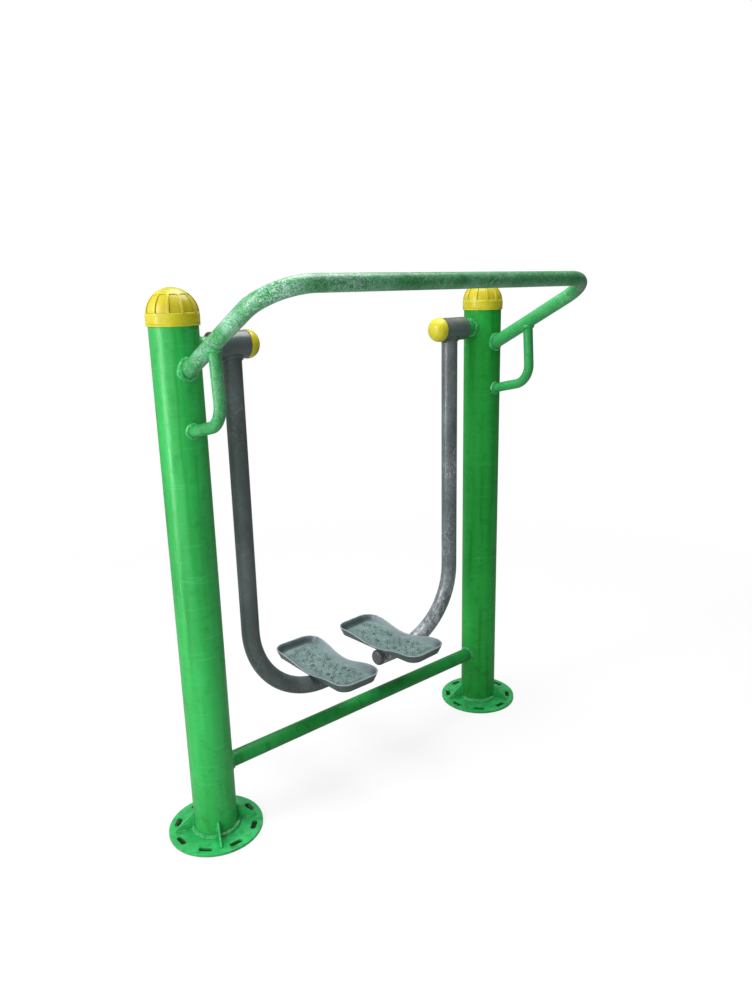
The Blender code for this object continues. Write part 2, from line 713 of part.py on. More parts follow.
def arm_path(sign):
    """The arm's axis from inside the hub down and round to its inner end."""
    inward = -sign
    top = Vector((inward * ARM_INSET, 0, 0))
    corner = top - Vector((0, 0, ARM_DROP))
    end = corner + Vector((inward * ARM_REACH, 0, 0))
    return filleted([top, corner, end], ARM_BEND_RADIUS, ARM_BEND_STEPS)


def make_arm(side, arm, steel):
    """The bent arm tube, its top shaped to the underside of the hub."""
    sign = SIDES[side]
    bar = tube(arm_path(sign), ARM_RADIUS, ARM_WALL, TUBE_SIDES, Vector((0, 1, 0)))
    solid = piece(f"{side}_swing_arm", bar, steel, arm)
    reach = HUB_LENGTH / 2 + CUT_OVERRUN
    hub_path = [Vector((-reach, 0, 0)), Vector((reach, 0, 0))]
    hub_shape = rod(hub_path, HUB_DIAMETER / 2 + SEAT_GAP, HUB_SIDES, Vector((0, 0, 1)))
    shape_with(solid, cutter(f"{side}_hub_cope", hub_shape, arm))


def make_arm_plug(side, arm, plastic):
    """The rounded plug in the arm's open end."""
    sign = SIDES[side]
    inward = -sign
    corner = ARM_PLUG_CORNER
    skirt_radius = ARM_RADIUS - ARM_WALL - SEAT_GAP
    skirt_end = -ARM_PLUG_SKIRT_LENGTH
    profile = [(skirt_end, 0), (skirt_end, skirt_radius), (SEAT_GAP, skirt_radius), (SEAT_GAP, ARM_RADIUS)]
    for step in range(CORNER_STEPS + 1):
        angle = step / CORNER_STEPS * math.pi / 2
        along = ARM_PLUG_DEPTH - corner + corner * math.sin(angle)
        profile.append((along, ARM_RADIUS - corner + corner * math.cos(angle)))
    profile.append((ARM_PLUG_DEPTH, 0))
    end = arm_path(sign)[-1]
    plug = turned([(inward * along, radius) for along, radius in profile], TUBE_SIDES, closed=False)
    plug.transform(Matrix.Translation(end))
    piece(f"{side}_arm_plug", plug, plastic, arm)


def bolt_places():
    """The four bolts, in the saddle's own frame."""
    x = BOLT_SPACING_ALONG_ARM / 2
    y = BOLT_SPACING_ACROSS_ARM / 2
    return [(-x, -y), (x, -y), (x, y), (-x, y)]


def bolt_hole_cutter(name, base, top, parent):
    bm = bmesh.new()
    radius = BOLT_DIAMETER / 2 + BOLT_CLEARANCE
    for x, y in bolt_places():
        path = [Vector((x, y, base)), Vector((x, y, top))]
        absorb(bm, rod(path, radius, HOLE_SIDES, Vector((1, 0, 0))))
    return cutter(name, bm, parent)


def make_saddle(side, arm, seat, steel):
    """The plate that carries the footplate, its underside shaped to the arm tube."""
    low = (-SADDLE_LENGTH / 2, -SADDLE_WIDTH / 2, SADDLE_TOP - SADDLE_THICKNESS)
    high = (SADDLE_LENGTH / 2, SADDLE_WIDTH / 2, SADDLE_TOP)
    solid = piece(f"{side}_saddle_plate", box(low, high), steel, seat)
    arm_shape = rod(arm_path(SIDES[side]), ARM_RADIUS + SEAT_GAP, TUBE_SIDES, Vector((0, 1, 0)))
    shape_with(solid, cutter(f"{side}_arm_cope", arm_shape, arm))
    base = low[2] - CUT_OVERRUN
    holes = bolt_hole_cutter(f"{side}_saddle_hole_cutter", base, high[2] + CUT_OVERRUN, seat)
    shape_with(solid, holes)


def plate_outline(inset):
    """The footplate's outline, drawn in by an inset. Its corners are round and its sides bow a little."""
    half_length = PLATE_LENGTH / 2
    half_end = PLATE_END_WIDTH / 2
    waist_draw = (PLATE_END_WIDTH - PLATE_WAIST_WIDTH) / 2
    side_half = half_length - PLATE_CORNER_RADIUS
    quarter = []
    for step in range(SIDE_STEPS + 1):
        y = side_half * step / SIDE_STEPS
        wave = math.pi * y / side_half
        x = half_end - waist_draw * (1 + math.cos(wave)) / 2
        slope = waist_draw * math.sin(wave) * math.pi / side_half / 2
        normal = Vector((1, -slope)).normalized()
        quarter.append((x - inset * normal.x, y - inset * normal.y))
    for step in range(1, CORNER_STEPS + 1):
        angle = math.pi / 2 * step / CORNER_STEPS
        radius = PLATE_CORNER_RADIUS - inset
        x = half_end - PLATE_CORNER_RADIUS + radius * math.cos(angle)
        y = side_half + radius * math.sin(angle)
        quarter.append((x, y))
    right = [(x, -y) for x, y in quarter[:0:-1]] + quarter
    return right + [(-x, -y) for x, y in right]


def rim_height(y):
    """The wall is low midway and full at toe and heel."""
    share = min(abs(y) / (PLATE_LENGTH / 2 - PLATE_CORNER_RADIUS), 1.0)
    blend = (1 - math.cos(math.pi * share)) / 2
    return PLATE_RIM_WAIST + (PLATE_RIM_END - PLATE_RIM_WAIST) * blend


def plate_shell():
    """Floor and flared wall, as one skin round the outline."""
    bm = bmesh.new()
    rim = plate_outline(0)
    heights = [rim_height(y) for _, y in rim]
    flares = [PLATE_FLARE * height / PLATE_RIM_END for height in heights]
    foot = plate_outline(PLATE_FLARE)
    inner_rim = plate_outline(PLATE_WALL)
    inner_foot = plate_outline(PLATE_FLARE + PLATE_WALL)
    rings = []
    for outline, levels in ((foot, None), (rim, heights), (inner_rim, heights), (inner_foot, None)):
        level = PLATE_FLOOR if outline is inner_foot else 0
        points = []
        for index, (x, y) in enumerate(outline):
            if levels is not None:
                draw = 1 - flares[index] / PLATE_FLARE
                base = foot[index] if outline is rim else inner_foot[index]
                x = x + (base[0] - x) * draw
                y = y + (base[1] - y) * draw
            points.append(bm.verts.new((x, y, level if levels is None else levels[index])))
        rings.append(points)
    skin(bm, rings)
    bm.faces.new(rings[0])
    bm.faces.new(rings[-1])
    return bm


def stud_places():
    """Staggered rows of studs, clear of the walls, the bolts and the drain holes."""
    keep_out = [(x, y, BOLT_HEAD_DIAMETER) for x, y in plate_bolt_places()]
    keep_out += [(x, y, DRAIN_DIAMETER) for x, y in drain_places()]
    places = []
    rows = int((PLATE_LENGTH / 2 - PLATE_FLARE - PLATE_WALL - STUD_MARGIN) / STUD_PITCH)
    for row in range(-rows, rows + 1):
        y = row * STUD_PITCH
        share = min(abs(y) / (PLATE_LENGTH / 2 - PLATE_CORNER_RADIUS), 1.0)
        waist_draw = (PLATE_END_WIDTH - PLATE_WAIST_WIDTH) / 2
        half_width = PLATE_END_WIDTH / 2 - waist_draw * (1 + math.cos(math.pi * share)) / 2
        reach = half_width - PLATE_FLARE - PLATE_WALL - STUD_MARGIN
        shift = STUD_PITCH / 2 if row % 2 else 0
        count = int((reach - shift) / STUD_PITCH)
        columns = [shift + STUD_PITCH * k for k in range(count + 1)]
        for x in sorted({-c for c in columns} | set(columns)):
            gaps = [math.hypot(x - kx, y - ky) - (size + STUD_DIAMETER) / 2 for kx, ky, size in keep_out]
            if min(gaps) > SEAT_GAP:
                places.append((x, y))
    return places


def plate_bolt_places():
    """The bolts, in the footplate's own frame."""
    return [(x, y - PLATE_SETBACK) for x, y in bolt_places()]


def drain_places():
    """Two rows of three drain holes, one under the toes and one under the heel."""
    columns = (-DRAIN_ROW_PITCH, 0, DRAIN_ROW_PITCH)
    return [(x, y) for y in (-DRAIN_DISTANCE, DRAIN_DISTANCE) for x in columns]


def make_footplate(side, seat, plate, casting):
    """The cast tray, with studs on its floor, drain holes and stiffening ribs under it."""
    solid = piece(f"{side}_footplate", plate_shell(), casting, plate)

    studs = bmesh.new()
    for x, y in stud_places():
        root = Vector((x, y, PLATE_FLOOR - STUD_HEIGHT))
        top = Vector((x, y, PLATE_FLOOR + STUD_HEIGHT))
        stud = bmesh.new()
        rings = [
            ring(stud, root, Vector((0, 0, 1)), Vector((1, 0, 0)), STUD_DIAMETER, STUD_SIDES),
            ring(stud, top, Vector((0, 0, 1)), Vector((1, 0, 0)), STUD_DIAMETER / 3, STUD_SIDES),
        ]
        skin(stud, rings)
        for end in rings:
            stud.faces.new(end)
        absorb(studs, stud)
    shape_with(solid, cutter(f"{side}_stud_shapes", studs, plate), "UNION")

    ribs = bmesh.new()
    rib_start = SADDLE_WIDTH / 2 + PLATE_SETBACK + PLATE_RIB_HEIGHT
    rib_end = PLATE_LENGTH / 2 - PLATE_CORNER_RADIUS
    for x in (-PLATE_RIB_SPACING / 2, PLATE_RIB_SPACING / 2):
        for way in (-1, 1):
            low = (x - PLATE_RIB_THICKNESS / 2, min(way * rib_start, way * rib_end), -PLATE_RIB_HEIGHT)
            high = (x + PLATE_RIB_THICKNESS / 2, max(way * rib_start, way * rib_end), PLATE_FLOOR / 2)
            absorb(ribs, box(low, high))
    shape_with(solid, cutter(f"{side}_rib_shapes", ribs, plate), "UNION")

    drains = bmesh.new()
    for x, y in drain_places():
        path = [Vector((x, y, -CUT_OVERRUN)), Vector((x, y, PLATE_FLOOR + CUT_OVERRUN))]
        absorb(drains, rod(path, DRAIN_DIAMETER / 2, HOLE_SIDES, Vector((1, 0, 0))))
    shape_with(solid, cutter(f"{side}_drain_cutter", drains, plate))
    top = SADDLE_TOP + SEAT_GAP + PLATE_FLOOR + CUT_OVERRUN
    shape_with(solid, bolt_hole_cutter(f"{side}_plate_hole_cutter", SADDLE_TOP - CUT_OVERRUN, top, seat))


def make_bolts(side, seat, zinc):
    """Four bolts, each with its nut run up under the saddle plate."""
    head_base = SADDLE_TOP + SEAT_GAP + PLATE_FLOOR + SEAT_GAP
    nut_top = SADDLE_TOP - SADDLE_THICKNESS - SEAT_GAP
    nut_radius = BOLT_NUT_ACROSS_FLATS / math.sqrt(3)
    nut_base = nut_top - BOLT_NUT_THICKNESS
    profile = [
        (nut_base - BOLT_TIP, 0),
        (nut_base - BOLT_TIP, BOLT_DIAMETER / 2),
        (nut_base, BOLT_DIAMETER / 2),
        (nut_base, nut_radius),
        (nut_top, nut_radius),
        (nut_top, BOLT_DIAMETER / 2),
        (head_base, BOLT_DIAMETER / 2),
        (head_base, BOLT_HEAD_DIAMETER / 2),
        (head_base + BOLT_HEAD_HEIGHT, BOLT_HEAD_DIAMETER / 3),
        (head_base + BOLT_HEAD_HEIGHT, 0),
    ]
    for number, (x, y) in enumerate(bolt_places(), start=1):
        bolt = turned(profile, BOLT_SIDES, "Z", closed=False)
        bolt.transform(Matrix.Translation((x, y, 0)))
        piece(f"{side}_footplate_bolt_{number}", bolt, zinc, seat)


def main():
    clear_scene()
    green = paint("green_powder_coat", (0.03, 0.42, 0.10), 0.32, 0.0)
    grey = paint("grey_powder_coat", (0.16, 0.19, 0.20), 0.38, 0.0)
    yellow = paint("yellow_plastic", (0.62, 0.50, 0.03), 0.35, 0.0)
    cast = paint("painted_casting", (0.20, 0.29, 0.28), 0.50, 0.0)
    bright = paint("machined_steel", (0.55, 0.55, 0.56), 0.30, 1.0)

    frame = group("walker", (0, POST_LINE, 0), None)
    posts = {}
    copes = {}
    for side, sign in SIDES.items():
        posts[side] = group(f"{side}_post_axis", (sign * POST_SPACING / 2, 0, 0), frame)
        copes[side] = post_cope(f"{side}_tube_cope", posts[side])
    make_crossbeam(frame, green, copes.values())
    make_handrail(frame, green, copes.values())

    for side, sign in SIDES.items():
        make_post(side, posts[side], green)
        make_flange(side, posts[side], green)
        make_gussets(side, posts[side], green)
        make_cap(side, posts[side], yellow)
        make_grip(side, frame, green, copes[side])

        pivot = group(f"{side}_pivot", (sign * HUB_MIDDLE, 0, PIVOT_HEIGHT), frame)
        arm = group(f"{side}_arm", (0, 0, 0), pivot)
        seat = group(f"{side}_saddle_seat", (-sign * (ARM_INSET + PLATE_FROM_ARM), 0, -ARM_DROP), arm)
        seat.rotation_euler.z = sign * PLATE_TOE_OUT[side]
        plate = group(f"{side}_plate_seat", (0, PLATE_SETBACK, SADDLE_TOP + SEAT_GAP), seat)
        make_collar(side, pivot, green)
        make_axle(side, pivot, bright)
        make_axle_fittings(side, pivot, bright)
        for end, start in (("cap_end", CAP_END_BEARING), ("post_end", POST_END_BEARING)):
            make_bearing(side, end, start, pivot, arm, bright)
        make_hub(side, arm, grey)
        make_hub_cap(side, arm, yellow)
        make_arm(side, arm, grey)
        make_arm_plug(side, arm, grey)
        make_saddle(side, arm, seat, grey)
        make_footplate(side, seat, plate, cast)
        make_bolts(side, seat, bright)


main()
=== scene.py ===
from math import cos, dist, hypot, pi, radians, sin, sqrt, tan, tau

import bmesh
import bpy
from mathutils import Matrix, Vector, noise


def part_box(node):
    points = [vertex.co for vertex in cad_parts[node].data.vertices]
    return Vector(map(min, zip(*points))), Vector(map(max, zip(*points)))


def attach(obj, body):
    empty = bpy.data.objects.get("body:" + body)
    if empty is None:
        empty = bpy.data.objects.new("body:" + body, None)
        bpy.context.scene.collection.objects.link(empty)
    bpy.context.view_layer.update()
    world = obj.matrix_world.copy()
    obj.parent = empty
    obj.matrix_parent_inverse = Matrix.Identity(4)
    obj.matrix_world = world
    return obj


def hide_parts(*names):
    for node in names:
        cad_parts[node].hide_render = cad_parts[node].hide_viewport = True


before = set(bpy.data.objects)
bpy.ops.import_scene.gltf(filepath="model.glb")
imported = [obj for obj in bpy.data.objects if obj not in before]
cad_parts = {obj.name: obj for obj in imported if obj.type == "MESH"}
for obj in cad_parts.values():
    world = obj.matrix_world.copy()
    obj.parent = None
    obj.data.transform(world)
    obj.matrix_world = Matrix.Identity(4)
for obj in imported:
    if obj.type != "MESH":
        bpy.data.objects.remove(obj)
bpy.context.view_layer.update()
SIDES = {"left": -1, "right": 1}
ALONG_X, ALONG_Y, UP = Vector((1, 0, 0)), Vector((0, 1, 0)), Vector((0, 0, 1))
FINE = 1
TINY = 1e-7
MERGE_DISTANCE = 2e-6

# Sizes that the part's source also uses, in metres
POST_SPACING = 1.041
POST_RADIUS = 0.057
POST_WALL = 0.003
PIVOT_HEIGHT = 1.273
GAP = 0.0003
FLANGE_THICKNESS = 0.008
FLANGE_DIAMETER = 0.250
FLANGE_VENT_DIAMETER = 0.060
SLOT_COUNT = 8
SLOT_CIRCLE_DIAMETER = 0.207
SLOT_LENGTH = 0.036
SLOT_WIDTH = 0.014
GUSSET_HEIGHT = 0.044
GUSSET_FOOT = 0.051
GUSSET_HALF = 0.0025
GUSSET_GAPS = {"left": (1, 3, 5, 7), "right": (0, 1, 3, 6)}
CAP_RIM_HEIGHT = PIVOT_HEIGHT + 0.052
CAP_RADIUS = 0.061
CAP_HEIGHT = 0.0855
CAP_BAND = 0.0285
CAP_WALL = 0.003
CAP_OVERLAP = 0.029
CAP_FULLNESS = 1.9
FLUTES = 11
FLUTE_SHARE = 0.84
FLUTE_DEPTH = 0.003
FLUTE_PHASE = radians(22)
BEAM_RADIUS = 0.0212
BEAM_WALL = 0.003
BEAM_HEIGHT = 0.1775
RAIL_RADIUS = 0.019
RAIL_WALL = 0.0025
RAIL_WELD_HEIGHT = PIVOT_HEIGHT - 0.0445
RAIL_RISE = 0.182
RAIL_REACH = 0.405
RAIL_BEND = 0.1085
GRIP_RADIUS = 0.014
GRIP_WALL = 0.0025
GRIP_WELD_HEIGHT = RAIL_WELD_HEIGHT - 0.1405
GRIP_CORNER_RISE = 0.030
GRIP_CORNER_REACH = 0.190
GRIP_TOP_REACH = 0.178
GRIP_BEND = 0.060
COLLAR_RADIUS = 0.024
COLLAR_LENGTH = 0.028
AXLE_RADIUS = 0.017
HUB_RADIUS = 0.034
HUB_LENGTH = 0.098
HUB_GAP = 0.0025
HUB_BORE_RADIUS = 0.0225
BEARING_RADIUS = 0.026
BEARING_WIDTH = 0.015
CAP_END_RECESS = 0.017
POST_END_RECESS = 0.010
HUB_CAP_RADIUS = 0.0355
HUB_CAP_DEPTH = 0.033
HUB_CAP_FULLNESS = 2.3
HUB_CAP_SPIGOT = 0.008
ARM_RADIUS = 0.024
ARM_WALL = 0.003
ARM_INSET = 0.009
ARM_LOW_HEIGHT = 0.3002
ARM_END_SPACING = 0.140
ARM_BEND = 0.226
PLUG_DEPTH = 0.014
PLUG_CORNER = 0.009
PLUG_SKIRT = 0.015
SADDLE_THICKNESS = 0.006
SADDLE_TOP = ARM_RADIUS - 0.0008 + SADDLE_THICKNESS
SADDLE_WIDTH = 0.096
PLATE_LENGTH = 0.347
PLATE_END_WIDTH = 0.150
PLATE_WAIST_WIDTH = 0.154
PLATE_CORNER = 0.042
PLATE_SPACING = 0.250
PLATE_SETBACK = 0.012
PLATE_FLOOR = 0.005
PLATE_WALL = 0.004
PLATE_RIM_END = 0.0265
PLATE_RIM_WAIST = 0.0075
PLATE_FLARE = 0.010
PLATE_TOE_OUT = {"left": 0.0, "right": radians(4)}
PLATE_RIB_HEIGHT = 0.006
PLATE_RIB_THICKNESS = 0.004
PLATE_RIB_SPACING = 0.062
DRAIN_DIAMETER = 0.007
DRAIN_ROW_PITCH = 0.031
DRAIN_DISTANCE = 0.070
BOLT_X = 0.029
BOLT_Y = 0.037

# Sizes that only this script uses
PLATE_EDGE = 0.0008
FLANGE_EDGE = 0.0011
HUB_EDGE = 0.0012
HUB_CAP_WALL = 0.003
FLUTE_RUN = 0.0485
FLUTE_CORNER = 0.0032
FLUTE_SLOPE = 0.0016
FLUTE_DROP = 0.012
CAP_DOME_INSET = 0.0005
CAP_FLUTE_INSET = 0.0006
BOLT_HOLE_RADIUS = 0.0045
RAIL_BEAD, RAIL_RIPPLE = 0.0074, 0.0060
GRIP_BEAD, GRIP_RIPPLE = 0.0060, 0.0055
GRIP_TOP_BEAD, GRIP_TOP_RIPPLE = 0.0046, 0.0050
COLLAR_BEAD, COLLAR_RIPPLE = 0.0056, 0.0056
BEAM_BEAD = 0.0050
ARM_BEAD = 0.0050
FOOT_BEAD = 0.0072
GUSSET_BEAD = 0.0026
FLOOR_DROP = 0.0004

# Outlines as (out, up) pairs: the cap's lip and band from its radius, and the bolt's nut and head
BAND_OUTLINE = (
    (-0.0014, 0.0), (-0.0005, 0.0004), (0.0001, 0.0012), (0.0002, 0.0021), (0.0, 0.0029),
    (-0.0007, 0.0033), (-0.0009, 0.0038), (-0.0006, 0.0043), (-0.0001, 0.0048), (0.0, 0.0090),
    (0.0001, 0.0160), (0.0002, 0.0240), (0.0001, 0.0268), (-0.0001, 0.0277), (-0.0004, 0.0282))
NUT_OUTLINE = (
    (0.0, -0.0095), (0.0034, -0.0095), (0.0039, -0.0090), (0.0039, -0.0065), (0.0062, -0.0065),
    (0.0070, -0.0055), (0.0070, -0.0010), (0.0062, 0.0), (0.0039, 0.0))
HEAD_OUTLINE = (
    (0.0039, 0.0), (0.0066, 0.0), (0.0066, 0.0005), (0.0058, 0.0008), (0.0052, 0.0017), (0.0040, 0.0024),
    (0.0024, 0.0028), (0.0021, 0.0028), (0.0020, 0.0016), (0.0, 0.0016))

# Places across half a flute and its rib, as shares of the pitch
FLUTE_PLACE_SHARES = (0.0, 0.16, 0.30, 0.362, 0.378, 0.390, 0.400, 0.410, 0.422, 0.45, 0.5)

# Facets round the tubes and the turned pieces
POST_FACETS, TUBE_FACETS, GRIP_FACETS, COLLAR_FACETS = 96, 48, 36, 40
HUB_FACETS, BOLT_FACETS = 72, 24

# Rows and columns of the footplate's grid
PLATE_ROWS = round(88 * FINE)
PLATE_CORNER_ROWS = round(26 * FINE)
PLATE_COLUMNS = round(84 * FINE)

HUB_MIDDLE = POST_SPACING / 2 - POST_RADIUS - COLLAR_LENGTH - HUB_GAP - HUB_LENGTH / 2
POST_LINE = sum(corner.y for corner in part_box("left_post")) / 2
ARM_REACH = HUB_MIDDLE - ARM_INSET - ARM_END_SPACING / 2
RAIL_SLOPE = RAIL_RISE / (RAIL_REACH - POST_RADIUS)
RAIL_HEIGHT = RAIL_WELD_HEIGHT + RAIL_RISE
GRIP_SLOPE = GRIP_CORNER_RISE / (GRIP_CORNER_REACH - POST_RADIUS)
BOLT_PLACES = [(a * BOLT_X, b * BOLT_Y) for a, b in ((-1, -1), (1, -1), (1, 1), (-1, 1))]
DRAIN_PLACES = [(x, y) for x in (-DRAIN_ROW_PITCH, 0, DRAIN_ROW_PITCH)
                for y in (-DRAIN_DISTANCE, DRAIN_DISTANCE)]


# Places and numbers

def on_post(side, height=0.0):
    """A place on a post's axis."""
    return Vector((SIDES[side] * POST_SPACING / 2, POST_LINE, height))


def on_swing_axis(side, outwards=0.0):
    """A place on a walker's swing axis, this far from the hub's middle towards the post."""
    return Vector((SIDES[side] * (HUB_MIDDLE + outwards), POST_LINE, PIVOT_HEIGHT))


POST_SURFACES = {side: (on_post(side), UP, POST_RADIUS + GAP) for side in SIDES}


def smooth_step(share):
    share = min(max(share, 0), 1)
    return share * share * (3 - 2 * share)


def nearest(x, y, places):
    return min(hypot(x - px, y - py) for px, py in places)


# Shapes

def mesh_from(bm, name):
    mesh = bpy.data.meshes.new(name)
    bm.to_mesh(mesh)
    bm.free()
    return mesh


def add_object(name, data):
    thing = bpy.data.objects.new(name, data)
    bpy.context.scene.collection.objects.link(thing)
    return thing


def make(name, bm, material, body, slot, *nodes, smooth=40):
    """One piece from a shape: shaded smooth, riding on its body, standing for the named nodes."""
    bmesh.ops.remove_doubles(bm, verts=bm.verts, dist=MERGE_DISTANCE)
    bmesh.ops.recalc_face_normals(bm, faces=bm.faces)
    mesh = mesh_from(bm, name)
    shade(mesh, smooth)
    mesh.materials.append(material)
    thing = add_object(name, mesh)
    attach(thing, body)
    if nodes:
        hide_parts(*nodes)
    return thing


def make_green(name, bm, material, *nodes):
    return make(name, bm, material, "frame", "green_coat", *nodes)


def shade(mesh, sharp):
    mesh.polygons.foreach_set("use_smooth", [True] * len(mesh.polygons))
    mesh.set_sharp_from_angle(angle=radians(sharp))


def shaped(thing, *changes, sharp=40, bevel=0.0):
    """Cuts shapes from a piece or joins them to it, rounds its edges, and makes that its mesh."""
    tools = []
    for operation, bm in changes:
        tools.append(add_object("tool", mesh_from(bm, "tool")))
        change = thing.modifiers.new("change", "BOOLEAN")
        change.object = tools[-1]
        change.operation = operation
        change.solver = "EXACT"
    if bevel:
        edges = thing.modifiers.new("edges", "BEVEL")
        edges.width = bevel
        edges.segments = 2
        edges.limit_method = "ANGLE"
        edges.angle_limit = radians(35)
    mesh = bpy.data.meshes.new_from_object(thing.evaluated_get(bpy.context.evaluated_depsgraph_get()))
    thing.modifiers.clear()
    thing.data = mesh
    shade(mesh, sharp)
    for tool in tools:
        bpy.data.objects.remove(tool)


def softened(name, node, material, body, slot):
    """A finer copy of a plate: the same shape with its edges rounded."""
    bm = bmesh.new()
    bm.from_mesh(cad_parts[node].data)
    bmesh.ops.remove_doubles(bm, verts=bm.verts, dist=10 * MERGE_DISTANCE)
    bmesh.ops.dissolve_limit(bm, angle_limit=radians(1), verts=bm.verts, edges=bm.edges)
    shaped(make(name, bm, material, body, slot, node), sharp=50, bevel=PLATE_EDGE)


def ring(bm, points):
    return [bm.verts.new(point) for point in points]


def skin(bm, rings):
    """Faces between each ring of vertices and the next."""
    for near, far in zip(rings, rings[1:]):
        for index in range(len(near)):
            after = (index + 1) % len(near)
            bm.faces.new((near[index], near[after], far[after], far[index]))


def close_to_tip(bm, rim, tip):
    """A fan of faces from a rim to one vertex."""
    for index in range(len(rim)):
        bm.faces.new((rim[index], rim[(index + 1) % len(rim)], tip))


def circle(centre, along, side, radius, sides):
    across = along.cross(side).normalized()
    turns = [tau * k / sides for k in range(sides)]
    return [centre + radius * (cos(a) * side + sin(a) * across) for a in turns]


def add_rod(bm, radius, depth, sides, matrix):
    bmesh.ops.create_cone(bm, cap_ends=True, segments=sides, radius1=radius, radius2=radius, depth=depth,
                          matrix=matrix)


def filleted(corners, radius, steps):
    """The path through the corners, with each inner one rounded."""
    points = [corners[0]]
    for before, corner, after in zip(corners, corners[1:], corners[2:]):
        back = (before - corner).normalized()
        onward = (after - corner).normalized()
        half_angle = back.angle(onward) / 2
        centre = corner + (back + onward).normalized() * (radius / sin(half_angle))
        first = corner + back * (radius / tan(half_angle)) - centre
        last = corner + onward * (radius / tan(half_angle)) - centre
        points += [centre + radius * first.slerp(last, step / steps) for step in range(steps + 1)]
    return points + [corners[-1]]


def spaced(path, pitch):
    """The same path with its long straight runs cut into shorter ones."""
    out = [path[0]]
    for before, after in zip(path, path[1:]):
        count = max(1, round((after - before).length / pitch))
        out += [before.lerp(after, k / count) for k in range(1, count + 1)]
    return out


def slide_to_cylinder(point, along, axis_point, axis, radius):
    """Moves a point along a direction to where it first meets a cylinder."""
    d = along - axis * along.dot(axis)
    m = (point - axis_point) - axis * (point - axis_point).dot(axis)
    a, b, c = d.dot(d), 2 * m.dot(d), m.dot(m) - radius * radius
    root = sqrt(max(b * b - 4 * a * c, 0))
    return point + along * ((-b - root) / (2 * a))


def pipe(path, side, radius, wall, sides, starts=None, ends=None):
    """A hollow tube, and the loops of its two ends. Starts and ends are the cylinders that it is cut to."""
    bm = bmesh.new()
    skins, loops = [], []
    for shell_radius in (radius, radius - wall):
        rings = []
        for index, point in enumerate(path):
            before, after = path[max(index - 1, 0)], path[min(index + 1, len(path) - 1)]
            rings.append(circle(point, (after - before).normalized(), side, shell_radius, sides))
        for index, inner, target in ((0, 1, starts), (-1, -2, ends)):
            if target is not None:
                way = (path[index] - path[inner]).normalized()
                rings[index] = [slide_to_cylinder(point, way, *target) for point in rings[inner]]
            if shell_radius == radius:
                loops.append(rings[index])
        skins.append([ring(bm, points) for points in rings])
        skin(bm, skins[-1])
    for index in (0, -1):
        skin(bm, [skins[0][index], skins[1][index]])
    return bm, *loops


def resampled(points, pitch, closed):
    """The same line with even steps: each point with its distance along the line."""
    source = points + points[:1] if closed else points
    marks = [0]
    for before, after in zip(source, source[1:]):
        marks.append(marks[-1] + (after - before).length)
    count = max(int(marks[-1] / pitch * FINE), 12)
    out, place = [], 0
    for k in range(count if closed else count + 1):
        along = marks[-1] * k / count
        while place < len(marks) - 2 and marks[place + 1] < along:
            place += 1
        share = (along - marks[place]) / max(marks[place + 1] - marks[place], TINY)
        out.append((source[place].lerp(source[place + 1], min(share, 1)), along))
    return out


def bead(points, size, seed, ripple=0.16, pitch=0.0042, closed=True, side=None):
    """A rippled weld along a line of points, thick and thin as a hand weld is."""
    sides, uneven, uneven_scale, wander, wander_scale = 8, 0.34, 60, 0.25, 90
    line = resampled(points, pitch / 3, closed)
    last = len(line) - 1
    bm = bmesh.new()
    rings = []
    for k, (point, along) in enumerate(line):
        before, after = (k - 1, (k + 1) % len(line)) if closed else (max(k - 1, 0), min(k + 1, last))
        way = (line[after][0] - line[before][0]).normalized()
        side = side or way.orthogonal()
        side = (side - side.dot(way) * way).normalized()
        radius = size * (1 + ripple * (abs(sin(pi * along / pitch)) - 0.5))
        radius *= 1 + uneven * noise.noise(point * uneven_scale + seed * ALONG_X)
        if not closed:
            radius *= 0.25 + 0.75 * sqrt(max(sin(pi * k / last), 0))
        place = point * wander_scale
        off = Vector((noise.noise(place), noise.noise(place + 9 * ALONG_X), 0)) * size * wander
        rings.append(ring(bm, circle(point + off, way, side, radius, sides)))
    skin(bm, rings)
    if closed:
        end, start = rings[-1], rings[0]
        near = min(range(sides), key=lambda index: (end[0].co - start[index].co).length)
        skin(bm, [end, start[near:] + start[:near]])
    else:
        bm.faces.new(rings[0])
        bm.faces.new(rings[-1])
    return bm


def joined(*shapes):
    """One shape from several, which it uses up."""
    whole = bmesh.new()
    for shape in shapes:
        mesh = mesh_from(shape, "part_of_shape")
        whole.from_mesh(mesh)
        bpy.data.meshes.remove(mesh)
    return whole


def turned(profile, sides, way, origin, closed=True):
    """A profile of (along, radius) points turned round a line. An open one starts and ends on the line."""
    side = UP if way.x else ALONG_X
    bm = bmesh.new()
    rings = []
    for along, radius in profile:
        centre = origin + way * along
        rings.append(ring(bm, [centre] if radius < TINY else circle(centre, way, side, radius, sides)))
    for near, far in zip(rings, rings[1:] + (rings[:1] if closed else [])):
        if len(near) == 1:
            close_to_tip(bm, far, near[0])
        elif len(far) == 1:
            close_to_tip(bm, near, far[0])
        else:
            skin(bm, [near, far])
    return bm


def dome_spot(share, fullness):
    """How far out and how far up a dome's curve is, at a share of the way from its rim to its top."""
    angle = share * pi / 2
    return cos(angle) ** (2 / fullness), sin(angle) ** (2 / fullness)


def dome(radius, depth, fullness, steps, start=0.0):
    """A dome's profile as (along, radius) points from its rim to its top."""
    spots = [dome_spot(step / steps, fullness) for step in range(steps + 1)]
    return [(start + depth * up, radius * out) for out, up in spots]


# Materials

